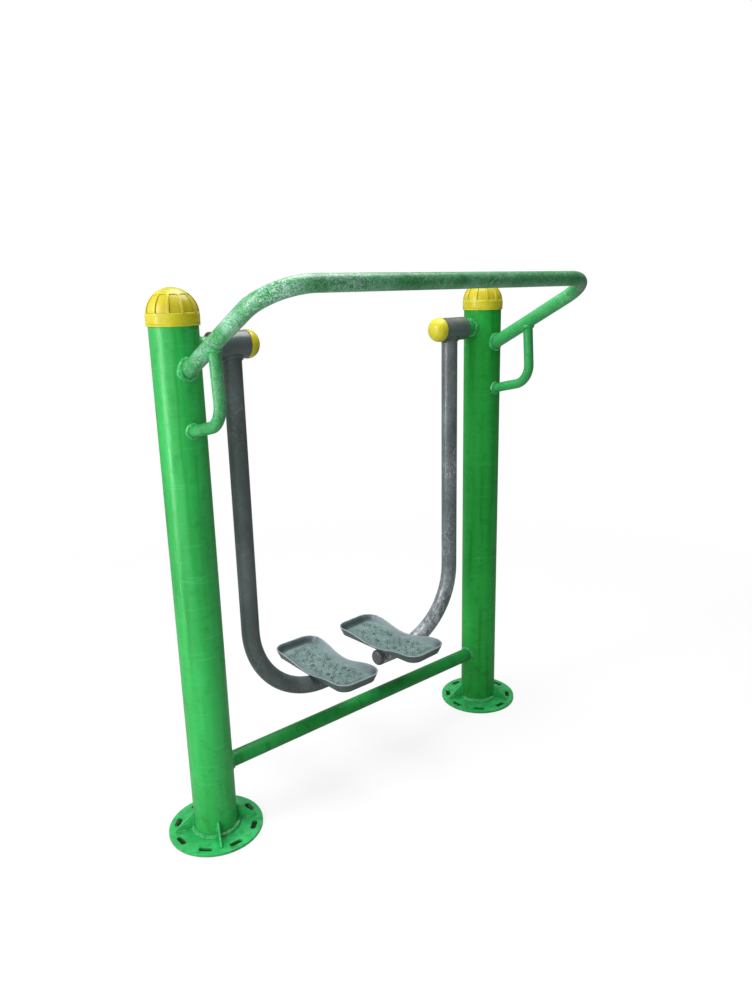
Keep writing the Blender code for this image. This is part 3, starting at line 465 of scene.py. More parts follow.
class Nodes:
    """Makes the nodes of one tree. An input is given as a value, or as the output that feeds it."""

    def __init__(self, tree):
        self.tree = tree

    def node(self, kind, inputs=None, **values):
        made = self.tree.nodes.new("ShaderNode" + kind)
        for key, value in values.items():
            setattr(made, key, value)
        self.feed(made, inputs or {})
        return made

    def feed(self, node, inputs):
        for key, value in inputs.items():
            socket = node.inputs[key]
            if isinstance(value, bpy.types.NodeSocket):
                self.tree.links.new(value, socket)
            else:
                socket.default_value = (*value, 1) if socket.type == "RGBA" else value

    def mix(self, amount, first, second, blend="MIX"):
        inputs = {0: amount, 6: first, 7: second}
        return self.node("Mix", inputs, data_type="RGBA", blend_type=blend).outputs[2]

    def spread(self, value, low, high, start=0.3, end=0.7, **values):
        """Low up to the start and high from the end on."""
        inputs = {"Value": value, "From Min": start, "From Max": end, "To Min": low, "To Max": high}
        return self.node("MapRange", inputs, **values).outputs["Result"]


class Finish(Nodes):
    """A Principled material that is built up from noise layers in the piece's own coordinates."""

    def __init__(self, name, metallic=0.0, coat=0.0, coat_roughness=0.1, specular=0.5):
        self.material = bpy.data.materials.new(name)
        self.material.use_nodes = True
        super().__init__(self.material.node_tree)
        self.shader = self.tree.nodes["Principled BSDF"]
        self.feed(self.shader, {"Metallic": metallic, "Coat Weight": coat, "Coat Roughness": coat_roughness,
                                "Specular IOR Level": specular})
        self.coordinates = self.node("TexCoord").outputs["Object"]
        self.base = None

    def noise(self, scale, detail=3.0, rough=0.55, stretch=(1, 1, 1), distortion=0.0):
        place = self.node("Mapping", {"Scale": stretch, "Vector": self.coordinates})
        inputs = {"Scale": scale, "Detail": detail, "Roughness": rough, "Distortion": distortion,
                  "Vector": place.outputs["Vector"]}
        return self.node("TexNoise", inputs).outputs["Fac"]

    def creases(self, scale, width, stretch=(1, 1, 1)):
        """Thin wandering lines: 1 on a line and 0 away from it."""
        value = self.noise(scale, stretch=stretch, distortion=1.6)
        return self.ramp(value, (0.5 - width, 0.0), (0.5, 1.0), (0.5 + width, 0.0))

    def times(self, first, second):
        return self.mix(1.0, first, second, "MULTIPLY")

    def ramp(self, value, *stops):
        ramp = self.node("ValToRGB", {"Fac": value})
        elements = ramp.color_ramp.elements
        while len(elements) < len(stops):
            elements.new(0.5)
        for element, (place, colour) in zip(elements, stops):
            element.position = place
            element.color = (*colour, 1) if isinstance(colour, tuple) else (colour, colour, colour, 1)
        return ramp.outputs["Color"]

    def attribute(self, name, *stops):
        mark = self.node("Attribute", attribute_name=name).outputs["Fac"]
        return self.ramp(mark, *stops) if stops else mark

    def along(self, axis, start, end):
        """0 up to the start and 1 from the end on, along an axis of the object's own frame."""
        split = self.node("SeparateXYZ", {0: self.coordinates})
        return self.spread(split.outputs[axis], 0.0, 1.0, start, end)

    def lay(self, mask, colour):
        """Lays a colour over the base, as strong as the mask says."""
        self.base = self.mix(mask, self.base, colour)

    def bumps(self, target, layers):
        normal = {}
        for value, strength, distance in layers:
            inputs = {"Strength": strength, "Distance": distance, "Height": value, **normal}
            normal = {"Normal": self.node("Bump", inputs).outputs["Normal"]}
            self.feed(self.shader, {target: normal["Normal"]})

    def done(self, roughness, *layers, coat_layers=()):
        self.feed(self.shader, {"Base Color": self.base, "Roughness": roughness})
        self.bumps("Normal", layers)
        self.bumps("Coat Normal", coat_layers)
        return self.material


def green_finish(name, tone=1.0, sheen=0.0, coat=0.35, darken_low=True, blue=1.0, specular=0.28):
    """Green powder coat. Sheen is the share of the painted highlights: pale creases on the handled tubes,
    most on the left, and a brighter right arm of the rail.
    """
    f = Finish(name, coat=coat, specular=specular)

    def tint(*colour):
        return tuple(part * tone * share for part, share in zip(colour, (1, 1, blue)))

    fine = f.noise(42, 4)
    streaks = f.noise(30, stretch=(1.6, 1.6, 0.09))
    wrinkles = f.noise(46, 4, 0.6, stretch=(0.22, 0.22, 2.4), distortion=0.4)
    f.base = f.ramp(f.noise(5, stretch=(1, 1, 0.5)), (0.30, tint(0.012, 0.285, 0.040)),
                    (0.55, tint(0.017, 0.370, 0.057)), (0.75, tint(0.026, 0.440, 0.084)))
    f.lay(f.spread(streaks, 0.0, 0.30), tint(0.046, 0.540, 0.145))
    f.lay(f.ramp(fine, (0.54, 0.0), (0.78, 0.45)), tint(0.008, 0.170, 0.032))
    f.lay(f.ramp(wrinkles, (0.56, 0.0), (0.74, 0.26)), tint(0.090, 0.560, 0.190))
    f.lay(f.ramp(streaks, (0.32, 0.36), (0.42, 0.0)), tint(0.006, 0.180, 0.030))
    if darken_low:
        # Darker towards the floor, in noisy patches.
        near_floor = f.ramp(f.along("Z", 0.0, 0.16), (0.0, 0.35), (1.0, 0.0))
        f.lay(f.times(near_floor, f.ramp(fine, (0.40, 0.0), (0.66, 1.0))), (0.030, 0.120, 0.034))
    if sheen:
        f.lay(f.ramp(f.noise(58, 4), (0.32, 0.45), (0.47, 0.0)), (0.005, 0.100, 0.028))
        # Painted light: the right-hand tubes near the post are laid a brighter green.
        lit_right_arm = f.times(f.along("X", 0.34, 0.50), f.along("Y", -0.26, -0.20))
        f.lay(f.times(lit_right_arm, (0.74 * sheen,) * 3), (0.020, 0.420, 0.090))
        # Painted highlights: pale creases and patches, strongest towards the left and the front.
        left = f.ramp(f.along("X", 0.20, -0.52), (0.0, 0.30), (0.45, 0.45), (1.0, 1.0))
        front = f.ramp(f.along("Y", 0.04, -0.22), (0.0, 0.38), (0.5, 0.50), (1.0, 1.0))
        sheen_cover = f.times(f.times(left, front), f.ramp(f.noise(12), (0.36, sheen * 0.30), (0.58, sheen)))
        f.lay(f.times(sheen_cover, f.creases(64, 0.036, (1, 0.5, 1))), (0.70, 0.90, 0.84))
        f.lay(f.times(sheen_cover, f.creases(140, 0.055, (1, 0.6, 1))), (0.48, 0.74, 0.64))
        f.lay(f.times(sheen_cover, f.ramp(f.noise(16), (0.48, 0.0), (0.66, 0.5))), (0.34, 0.66, 0.52))
    waves = f.noise(150, rough=0.62, stretch=(0.4, 0.4, 1.5), distortion=0.8)
    return f.done(f.spread(f.noise(19, 4), 0.28, 0.50),
                  (f.noise(620, 2), 0.16, 0.0004), (wrinkles, 0.12, 0.0012),
                  coat_layers=((f.noise(34, stretch=(1, 1, 1.4)), 0.35, 0.0026), (waves, 0.8, 0.0022)))


def weld_finish(name, dark, light):
    f = Finish(name, coat=0.25, coat_roughness=0.2)
    f.base = f.ramp(f.noise(130, 4), (0.35, dark), (0.68, light))
    return f.done(f.spread(f.noise(80), 0.28, 0.5), (f.noise(420), 0.35, 0.0005))


def grey_finish(name, dark, middle, light, gloss, sheen, low_sheen=0.0):
    """Slate powder coat with a wavy clear layer that breaks up the highlights, and painted highlights: pale
    creases, and lighter patches with darker folds low on the arm.
    """
    f = Finish(name, coat=gloss, coat_roughness=0.16, specular=0.4)
    f.base = f.ramp(f.noise(9, 4, stretch=(1, 1, 0.45)), (0.28, dark), (0.52, middle), (0.78, light))
    f.lay(f.ramp(f.noise(75, 5, 0.62), (0.58, 0.0), (0.78, 0.5)), light)
    f.lay(f.ramp(f.noise(33), (0.62, 0.0), (0.82, 0.6)), dark)
    # Painted highlights: pale creases over the coat, patchy by noise.
    sheen_cover = f.ramp(f.noise(6), (0.44, sheen * 0.15), (0.66, sheen))
    if low_sheen:
        # Painted highlights low on the arm: lighter patches, with darker folds between them.
        low = f.ramp(f.along("Z", 0.30, 0.56), (0.0, low_sheen), (0.50, low_sheen * 0.7), (1.0, 0.0))
        sheen_cover = f.mix(1.0, sheen_cover, low, "LIGHTEN")
        highlight_patches = f.ramp(f.noise(34, 4, stretch=(1, 1, 0.4)), (0.44, 0.0), (0.60, 1.0))
        f.lay(f.times(low, highlight_patches), tuple(part * 2.1 for part in light))
        folds = f.ramp(f.noise(52, 4, stretch=(1, 1, 0.5)), (0.40, 1.0), (0.50, 0.0))
        f.lay(f.times(low, folds), dark)
    f.lay(f.times(sheen_cover, f.creases(22, 0.016, (1, 1, 0.6))), (0.80, 0.84, 0.86))
    f.lay(f.times(sheen_cover, f.creases(70, 0.040)), (0.46, 0.51, 0.53))
    waves = f.noise(120, rough=0.62, stretch=(1, 1, 0.7), distortion=0.8)
    return f.done(f.spread(f.noise(26, 4), 0.30, 0.55),
                  (f.noise(560, 2), 0.16, 0.0004), (f.noise(48), 0.12, 0.0014),
                  coat_layers=((f.noise(40), 0.6, 0.0026), (waves, 0.8, 0.0013)))


def cast_finish(name):
    """The footplate's coat: sand-cast grain and rubbed bars, with painted light and shade: a lip lighter by
    painted highlights and wear, lighter inner walls, a darker outer wall and heel, and hollows darkened by
    painted shade and dirt.
    """
    f = Finish(name, coat=0.15, coat_roughness=0.28)
    f.base = f.ramp(f.noise(16, 4), (0.30, (0.105, 0.175, 0.165)), (0.52, (0.145, 0.232, 0.218)),
                    (0.76, (0.200, 0.295, 0.275)))
    f.lay(f.ramp(f.noise(62, 4, 0.6), (0.58, 0.0), (0.72, 0.60)), (0.055, 0.098, 0.092))
    # Painted light: the inner wall and coves lighter and bluer.
    f.lay(f.attribute("wall", (0.0, 0.0), (1.0, 0.7)), (0.160, 0.200, 0.222))
    # Painted shade: the inner wall darker towards toe and heel.
    f.lay(f.attribute("heel", (0.0, 0.0), (1.0, 0.90)), (0.020, 0.040, 0.042))
    # Painted shade: the outer wall darker.
    f.lay(f.attribute("outer", (0.0, 0.0), (1.0, 0.80)), (0.052, 0.066, 0.064))
    # Painted shade and dirt: the hollows darker.
    f.lay(f.attribute("hollow", (0.20, 0.0), (0.85, 0.92)), (0.010, 0.020, 0.019))
    f.lay(f.attribute("raised", (0.45, 0.0), (1.0, 0.45)), (0.30, 0.40, 0.37))
    # Painted highlights and wear: the lip lighter in patches.
    sheen_and_wear = f.ramp(f.noise(85, 4), (0.30, 0.25), (0.60, 0.9))
    f.lay(f.times(f.attribute("lip"), sheen_and_wear), (0.290, 0.330, 0.370))
    return f.done(f.spread(f.noise(40, 4), 0.36, 0.62), (f.noise(300, 4, 0.65), 0.5, 0.0007),
                  (f.noise(95), 0.35, 0.0012))


def yellow_finish(name, warm):
    f = Finish(name, coat=0.12, coat_roughness=0.15, specular=0.4)
    f.base = f.ramp(f.noise(11, 4), (0.28, (0.455, 0.390, 0.008)), (0.52, (0.585, 0.520, 0.014)),
                    (0.78, (0.700, 0.640, 0.032)))
    f.lay(f.ramp(f.noise(45, 4), (0.54, 0.0), (0.78, 0.40)), warm)
    # Painted shade: flute walls and flute floors darker.
    f.lay(f.attribute("flute_wall_shade", (0.0, 0.0), (1.0, 0.80)), (0.200, 0.130, 0.005))
    f.lay(f.attribute("sunk", (0.0, 0.0), (1.0, 0.28)), (0.440, 0.330, 0.010))
    return f.done(f.spread(f.noise(24, 4), 0.26, 0.46),
                  (f.noise(240), 0.14, 0.0005), (f.noise(36, 2), 0.12, 0.0012))


def plain_finish(name, dark, light, low, high, grain=240, strength=0.2, metallic=0.0, stretch=(1, 1, 1)):
    f = Finish(name, metallic=metallic)
    f.base = f.ramp(f.noise(70, 4, stretch=stretch), (0.32, dark), (0.70, light))
    return f.done(f.spread(f.noise(45, 4, stretch=stretch), low, high),
                  (f.noise(grain, stretch=stretch), strength, 0.0005))


GREEN = green_finish("green powder coat")
GREEN_RIGHT = green_finish("green powder coat shaded", tone=0.88, coat=0.14, blue=0.75, specular=0.09)
# Painted shade: the beam gets a darker copy of the green.
GREEN_BEAM_SHADED = green_finish("green powder coat of the beam", tone=0.66, coat=0.2, specular=0.15)
# Painted light: flanges and gussets get a lighter, bluer copy of the green.
GREEN_FOOT_LIT = green_finish("green powder coat of the feet", tone=1.15, coat=0.3, blue=1.35)
# Painted shade and painted highlights: rail and grips get darker copies of the green with pale painted
# highlights.
GREEN_RAIL = green_finish("green powder coat with painted highlights", tone=0.66, sheen=0.84, coat=0.5, darken_low=False, blue=1.15)
GREEN_GRIP = green_finish("green powder coat of the grips", tone=0.76, sheen=0.44, coat=0.4, darken_low=False,
                          blue=1.15)
GREEN_WELD = weld_finish("green weld", (0.014, 0.260, 0.052), (0.064, 0.500, 0.165))
FOOT_WELD = weld_finish("green weld of the feet", (0.012, 0.230, 0.050), (0.036, 0.440, 0.130))
GREY = {
    "left": grey_finish("slate coat", (0.034, 0.046, 0.045), (0.062, 0.079, 0.079), (0.112, 0.134, 0.134),
                        gloss=0.25, sheen=0.08, low_sheen=0.08),
    # Painted light: the right arm gets a lighter, glossier copy of the slate with more painted highlights.
    "right": grey_finish("slate coat painted lighter", (0.040, 0.051, 0.057), (0.073, 0.090, 0.098),
                         (0.170, 0.198, 0.215), gloss=1.0, sheen=0.55, low_sheen=0.66),
}
GREY_HUB = grey_finish("slate coat hub", (0.040, 0.054, 0.055), (0.074, 0.094, 0.096), (0.120, 0.145, 0.150),
                       gloss=0.5, sheen=0.0)
GREY_WELD = weld_finish("slate weld", (0.034, 0.042, 0.043), (0.130, 0.148, 0.152))
CAST = cast_finish("cast coat")
YELLOW = yellow_finish("yellow plastic", (0.34, 0.285, 0.018))
YELLOW_BALL = yellow_finish("yellow plastic ball", (0.56, 0.36, 0.03))
PLUG = plain_finish("grey plastic", (0.075, 0.078, 0.082), (0.120, 0.122, 0.126), 0.35, 0.6)
STEEL = plain_finish("bright steel", (0.42, 0.42, 0.43), (0.62, 0.62, 0.63), 0.22, 0.42, grain=520,
                     strength=0.15, metallic=1.0, stretch=(1, 1, 6))
DULL = plain_finish("painted fixing", (0.050, 0.072, 0.068), (0.105, 0.140, 0.132), 0.42, 0.62, grain=300,
                    strength=0.3, metallic=0.3)


def dress_nodes():
    """Gives each node its finish. The nodes inside hub and post are shown as they are."""
    for name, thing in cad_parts.items():
        grey = GREY.get(name.partition("_")[0])
        finishes = (("bearing", STEEL), ("bolt", DULL), ("collar", GREEN), ("axle", STEEL), ("cap", YELLOW),
                    ("plug", PLUG), ("footplate", CAST), ("swing_arm", grey), ("saddle", grey),
                    ("hub", GREY_HUB), ("", GREEN))
        thing.data.materials.clear()
        thing.data.materials.append(next(finish for word, finish in finishes if word in name))


# The frame

def make_post(side):
    """The post tube, smoother than its node, with the hole that the axle goes through."""
    foot, head = FLANGE_THICKNESS + GAP, CAP_RIM_HEIGHT + CAP_OVERLAP
    path = spaced([on_post(side, foot), on_post(side, head)], pitch=0.07)
    bm, _, _ = pipe(path, ALONG_X, POST_RADIUS, POST_WALL, POST_FACETS)
    post = make_green(f"{side}_post_tube", bm, GREEN if side == "left" else GREEN_RIGHT, f"{side}_post")
    drill = bmesh.new()
    drilled_at = 0.6 * POST_RADIUS
    inner_side = on_post(side, PIVOT_HEIGHT) - SIDES[side] * drilled_at * ALONG_X
    add_rod(drill, AXLE_RADIUS + GAP, POST_RADIUS, TUBE_FACETS,
            Matrix.Translation(inner_side) @ Matrix.Rotation(pi / 2, 4, "Y"))
    shaped(post, ("DIFFERENCE", drill))


def slot_outline():
    """A slot along Y, with round ends, at the slot circle."""
    straight = (SLOT_LENGTH - SLOT_WIDTH) / 2
    steps = 10
    outline = []
    for end in (1, -1):
        for step in range(steps + 1):
            angle = pi * step / steps
            outline.append(Vector((SLOT_CIRCLE_DIAMETER / 2 + end * SLOT_WIDTH / 2 * cos(angle),
                                   end * (straight + SLOT_WIDTH / 2 * sin(angle)), 0)))
    return outline


def make_flange(side):
    """The base flange, rounder than its node, with its slots and the vent hole under the post."""
    outer, vent = FLANGE_DIAMETER / 2, FLANGE_VENT_DIAMETER / 2
    profile = [(0, vent), (0, outer), (FLANGE_THICKNESS, outer), (FLANGE_THICKNESS, vent)]
    plate = turned(profile, POST_FACETS, UP, on_post(side))
    flange = make_green(f"{side}_flange_plate", plate, GREEN_FOOT_LIT, f"{side}_base_flange")
    slots = bmesh.new()
    for index in range(SLOT_COUNT):
        turn = Matrix.Rotation(tau * index / SLOT_COUNT, 3, "Z")
        rings = [ring(slots, [on_post(side, height) + turn @ point for point in slot_outline()])
                 for height in (-FLANGE_THICKNESS, 2 * FLANGE_THICKNESS)]
        skin(slots, rings)
        slots.faces.new(rings[0][::-1])
        slots.faces.new(rings[1])
    shaped(flange, ("DIFFERENCE", slots), bevel=FLANGE_EDGE)


def make_handrail():
    low = RAIL_WELD_HEIGHT - RAIL_SLOPE * POST_RADIUS
    forward = RAIL_REACH * ALONG_Y
    corners = [on_post("left", low), on_post("left", RAIL_HEIGHT) - forward,
               on_post("right", RAIL_HEIGHT) - forward, on_post("right", low)]
    across = (corners[1] - corners[0]).cross(corners[2] - corners[1]).normalized()
    path = filleted(corners, RAIL_BEND, steps=28)
    path = [path[0]] + spaced(path[1:-1], pitch=0.03) + [path[-1]]
    bm, first, last = pipe(path, across, RAIL_RADIUS, RAIL_WALL, TUBE_FACETS, *POST_SURFACES.values())
    make_green("handrail_tube", bm, GREEN_RAIL, "handrail")
    for side, loop in zip(SIDES, (first, last)):
        weld = bead(loop, RAIL_BEAD, 3 * SIDES[side], pitch=RAIL_RIPPLE)
        make_green(f"{side}_handrail_weld", weld, GREEN_WELD)


def make_grip(side):
    start = on_post(side, GRIP_WELD_HEIGHT - GRIP_SLOPE * POST_RADIUS)
    corner = on_post(side, GRIP_WELD_HEIGHT + GRIP_CORNER_RISE) - GRIP_CORNER_REACH * ALONG_Y
    top_height = RAIL_WELD_HEIGHT + RAIL_SLOPE * (GRIP_TOP_REACH - POST_RADIUS)
    top = on_post(side, top_height) - GRIP_TOP_REACH * ALONG_Y
    rail_start = on_post(side, RAIL_WELD_HEIGHT - RAIL_SLOPE * POST_RADIUS)
    rail_axis = Vector((0, -RAIL_REACH, RAIL_HEIGHT - rail_start.z)).normalized()
    rail = (rail_start, rail_axis, RAIL_RADIUS + GAP)
    path = filleted([start, corner, top], GRIP_BEND, steps=26)
    bm, first, last = pipe(path, ALONG_X, GRIP_RADIUS, GRIP_WALL, GRIP_FACETS, POST_SURFACES[side], rail)
    make_green(f"{side}_grip_tube", bm, GREEN_GRIP, f"{side}_side_grip")
    welds = joined(bead(first, GRIP_BEAD, 5, pitch=GRIP_RIPPLE),
                   bead(last, GRIP_TOP_BEAD, 7, pitch=GRIP_TOP_RIPPLE))
    make_green(f"{side}_grip_welds", welds, GREEN_WELD)


def make_crossbeam():
    pitch = 0.08
    inset = pitch * ALONG_X
    left, right = on_post("left", BEAM_HEIGHT), on_post("right", BEAM_HEIGHT)
    path = spaced([left, left + inset, right - inset, right], pitch)
    bm, first, last = pipe(path, UP, BEAM_RADIUS, BEAM_WALL, TUBE_FACETS, *POST_SURFACES.values())
    make_green("crossbeam_tube", bm, GREEN_BEAM_SHADED, "crossbeam")
    welds = joined(bead(first, BEAM_BEAD, 11, ripple=0.25), bead(last, BEAM_BEAD, 13, ripple=0.25))
    make_green("crossbeam_welds", welds, GREEN_WELD)


def make_foot(side):
    """Flange and gussets with softened edges, and the welds that hold them to the post."""
    make_flange(side)
    for number in range(1, 5):
        node = f"{side}_gusset_{number}"
        softened(f"{side}_gusset_plate_{number}", node, GREEN_FOOT_LIT, "frame", "green_coat")
    seam_lift, seam_out, gusset_out, gusset_lift, end_inset = 0.0012, 0.0018, 0.0010, 0.001, 0.003
    seam_centre = on_post(side, FLANGE_THICKNESS + seam_lift)
    seam = circle(seam_centre, UP, ALONG_X, POST_RADIUS + seam_out, HUB_FACETS)
    shapes = [bead(seam, FOOT_BEAD, 17, side=UP)]
    low, high = FLANGE_THICKNESS + gusset_lift, FLANGE_THICKNESS + GUSSET_HEIGHT - end_inset
    for gap in GUSSET_GAPS[side]:
        angle = tau * (gap + 0.5) / SLOT_COUNT
        out = Vector((cos(angle), sin(angle), 0))
        for hand in (-1, 1):
            shift = UP.cross(out) * hand * (GUSSET_HALF + PLATE_EDGE)
            inner = shift + out * (POST_RADIUS + gusset_out)
            outer = shift + out * (POST_RADIUS + GUSSET_FOOT - end_inset)
            corner = on_post(side, low) + inner
            shapes.append(bead([corner, on_post(side, low) + outer], GUSSET_BEAD, gap, closed=False))
            shapes.append(bead([corner, on_post(side, high) + inner], GUSSET_BEAD, gap + 20, closed=False))
    make_green(f"{side}_foot_welds", joined(*shapes), FOOT_WELD)


def flute_depth(off, low, run):
    """How far the surface is sunk at a place: off is the sideways distance from a flute's middle,
    low the half width there, and run the distance along the dome from the flute's foot."""
    far = FLUTE_RUN / 2
    a, b = abs(off) - (low - FLUTE_CORNER), abs(run - far) - (far - FLUTE_CORNER)
    outside = hypot(max(a, 0), max(b, 0)) + min(max(a, b), 0) - FLUTE_CORNER
    return smooth_step(-outside / FLUTE_SLOPE)


def cap_rows(radius, rise):
    """Rows up the cap's dome as (distance along it, out, up), close together at the flutes' two ends."""
    edge_reach, pitch = 0.0045, 0.0028 / FINE
    steps = round(150 * FINE)
    rows, along, before = [], 0.0, (radius, 0.0)
    for step in range(steps):
        out, up = dome_spot(step / steps, CAP_FULLNESS)
        spot = (radius * out, rise * up)
        along += dist(spot, before)
        before = spot
        near_edge = min(along, abs(along - FLUTE_RUN)) < edge_reach
        if near_edge or along - rows[-1][0] > pitch:
            rows.append((along, *spot))
    return rows


def make_cap(side):
    """The moulded cap: a lip, a plain band and a dome with eleven wide flutes between narrow ribs."""
    centre = on_post(side, CAP_RIM_HEIGHT)
    radius = CAP_RADIUS - CAP_DOME_INSET
    sunk_radius = CAP_RADIUS - FLUTE_DEPTH - CAP_FLUTE_INSET
    places = FLUTE_PLACE_SHARES
    places = [-share for share in places[:0:-1]] + list(places[:-1])
    angles = [(FLUTE_PHASE + tau * (index + share) / FLUTES, share)
              for index in range(FLUTES) for share in places]

    def around(points):
        return ring(bm, [centre + Vector((r * cos(angle), r * sin(angle), z))
                         for (angle, _), (r, z) in zip(angles, points)])

    bm = bmesh.new()
    # Marks for painted shade: the flute walls and the sunk flute floors.
    flute_wall_shade = bm.verts.layers.float.new("flute_wall_shade")
    sunk_shade = bm.verts.layers.float.new("sunk")
    band = [(POST_RADIUS + GAP, 0.0)] + [(CAP_RADIUS + out, up) for out, up in BAND_OUTLINE]
    rings = [around([spot] * len(angles)) for spot in band]
    for run, out, up in cap_rows(radius, CAP_HEIGHT - CAP_BAND):
        half = FLUTE_SHARE * pi / FLUTES * out
        sinks = [flute_depth(share * tau / FLUTES * out, half, run) for _, share in angles]
        rings.append(around([(out * (1 + (sunk_radius / radius - 1) * sunk),
                              CAP_BAND + up * (1 - FLUTE_DROP * sunk)) for sunk in sinks]))
        for vert, sunk in zip(rings[-1], sinks):
            vert[flute_wall_shade] = 4 * sunk * (1 - sunk)
            vert[sunk_shade] = sunk
    skin(bm, rings)
    close_to_tip(bm, rings[-1], bm.verts.new(centre + CAP_HEIGHT * UP))
    seat = CAP_OVERLAP + GAP
    hollow = [(seat, POST_RADIUS + GAP)]
    hollow += dome(POST_RADIUS + GAP - CAP_WALL, CAP_HEIGHT - CAP_WALL - seat, CAP_FULLNESS, 10, seat)
    inside = [rings[0]] + [around([(r, z)] * len(angles)) for z, r in hollow[:-1]]
    skin(bm, inside)
    close_to_tip(bm, inside[-1], bm.verts.new(centre + hollow[-1][0] * UP))
    make(f"{side}_fluted_cap", bm, YELLOW, "frame", "yellow_plastic", f"{side}_post_cap", smooth=60)


def make_collar(side):
    inner = HUB_LENGTH / 2 + HUB_GAP
    edge, middle = 0.0008, 0.012
    path = [on_swing_axis(side, inner + along) for along in (0, edge, middle)]
    path.append(on_post(side, PIVOT_HEIGHT))
    wall = COLLAR_RADIUS - AXLE_RADIUS - GAP
    bm, _, last = pipe(path, UP, COLLAR_RADIUS, wall, COLLAR_FACETS, None, POST_SURFACES[side])
    make_green(f"{side}_collar_stub", bm, GREEN, f"{side}_axle_collar")
    weld = bead(last, COLLAR_BEAD, 23, ripple=0.3, pitch=COLLAR_RIPPLE)
    make_green(f"{side}_collar_weld", weld, GREEN_WELD)


# The walkers

def make_hub(side):
    half, edge, bore = HUB_LENGTH / 2, HUB_EDGE, HUB_BORE_RADIUS
    cap_shoulder = -half + CAP_END_RECESS + BEARING_WIDTH + GAP
    post_shoulder = half - POST_END_RECESS - BEARING_WIDTH - GAP
    profile = [(-half, BEARING_RADIUS), (-half, HUB_RADIUS - edge), (-half + edge, HUB_RADIUS),
               (half - edge, HUB_RADIUS), (half, HUB_RADIUS - edge), (half, BEARING_RADIUS),
               (post_shoulder, BEARING_RADIUS), (post_shoulder, bore), (cap_shoulder, bore),
               (cap_shoulder, BEARING_RADIUS)]
    shape = turned(profile, HUB_FACETS, SIDES[side] * ALONG_X, on_swing_axis(side))
    make(f"{side}_hub_housing", shape, GREY_HUB, f"{side}_walker", "grey_coat", f"{side}_hub")


def make_ball_cap(side):
    """The hub's end cap: a hollow ball shape with a short spigot inside the hub."""
    face = -HUB_LENGTH / 2 - GAP
    outer = dome(HUB_CAP_RADIUS, HUB_CAP_DEPTH, HUB_CAP_FULLNESS, steps=22)
    spigot = BEARING_RADIUS - GAP
    cavity = dome(spigot - HUB_CAP_WALL, HUB_CAP_DEPTH - HUB_CAP_WALL, HUB_CAP_FULLNESS, steps=8)
    lift, rim_inset, squash = 0.0005, 0.0009, 0.985
    profile = [(face - lift - along * squash, r) for along, r in outer[::-1]]
    profile += [(face, HUB_CAP_RADIUS - rim_inset), (face, spigot), (face + HUB_CAP_SPIGOT, spigot),
                (face + HUB_CAP_SPIGOT, spigot - HUB_CAP_WALL)]
    profile += [(face - along, r) for along, r in cavity]
    shape = turned(profile, HUB_FACETS, SIDES[side] * ALONG_X, on_swing_axis(side), closed=False)
    make(f"{side}_ball_cap", shape, YELLOW_BALL, f"{side}_walker", "yellow_plastic", f"{side}_hub_end_cap")


def arm_corners(side):
    top = on_swing_axis(side, -ARM_INSET)
    corner = top - (PIVOT_HEIGHT - ARM_LOW_HEIGHT) * UP
    return top, corner, corner - SIDES[side] * ARM_REACH * ALONG_X


def make_arm(side):
    path = spaced(filleted(arm_corners(side), ARM_BEND, steps=40), pitch=0.05)
    hub = (on_swing_axis(side), ALONG_X, HUB_RADIUS + GAP)
    bm, joint, _ = pipe(path, ALONG_Y, ARM_RADIUS, ARM_WALL, TUBE_FACETS, hub)
    make(f"{side}_arm_tube", bm, GREY[side], f"{side}_walker", "grey_coat", f"{side}_swing_arm")
    make(f"{side}_arm_weld", bead(joint, ARM_BEAD, 29), GREY_WELD, f"{side}_walker", "grey_coat")


def make_plug(side):
    """The rounded plug in the arm's end, with its skirt inside the tube."""
    skirt = ARM_RADIUS - ARM_WALL - GAP
    profile = [(-PLUG_SKIRT, 0), (-PLUG_SKIRT, skirt), (GAP, skirt), (GAP, ARM_RADIUS)]
    steps = 10
    for step in range(steps + 1):
        angle = step / steps * pi / 2
        profile.append((PLUG_DEPTH - PLUG_CORNER + PLUG_CORNER * sin(angle),
                        ARM_RADIUS - PLUG_CORNER + PLUG_CORNER * cos(angle)))
    profile.append((PLUG_DEPTH, 0))
    shape = turned(profile, TUBE_FACETS, -SIDES[side] * ALONG_X, arm_corners(side)[-1], closed=False)
    make(f"{side}_arm_end_plug", shape, PLUG, f"{side}_walker", "grey_plastic", f"{side}_arm_plug")


def plate_seat(side):
    """From places on the saddle to world places. The origin is on the arm's axis under the plate."""
    seat = Vector((SIDES[side] * PLATE_SPACING / 2, POST_LINE, ARM_LOW_HEIGHT))
    return Matrix.Translation(seat) @ Matrix.Rotation(SIDES[side] * PLATE_TOE_OUT[side], 4, "Z")


def half_width(y, inset):
    """Half the footplate's width at a place along it, drawn in by an inset."""
    half_end = PLATE_END_WIDTH / 2
    side_half = PLATE_LENGTH / 2 - PLATE_CORNER
    draw = (PLATE_END_WIDTH - PLATE_WAIST_WIDTH) / 2
    y = abs(y)
    if y <= side_half:
        return half_end - draw * (1 + cos(pi * y / side_half)) / 2 - inset
    radius = PLATE_CORNER - inset
    return half_end - PLATE_CORNER + sqrt(max(radius ** 2 - (y - side_half) ** 2, 0))


def rim_share(y):
    """0 at the waist, where the wall is low, and 1 at toe and heel."""
    share = min(abs(y) / (PLATE_LENGTH / 2 - PLATE_CORNER), 1.0)
    return (1 - cos(pi * share)) / 2


def rim_height(y):
    return PLATE_RIM_WAIST + (PLATE_RIM_END - PLATE_RIM_WAIST) * rim_share(y)


def flare(y):
    """How far in from the outline the rim lies: a low wall flares out less."""
    return PLATE_FLARE * (1 - rim_height(y) / PLATE_RIM_END)


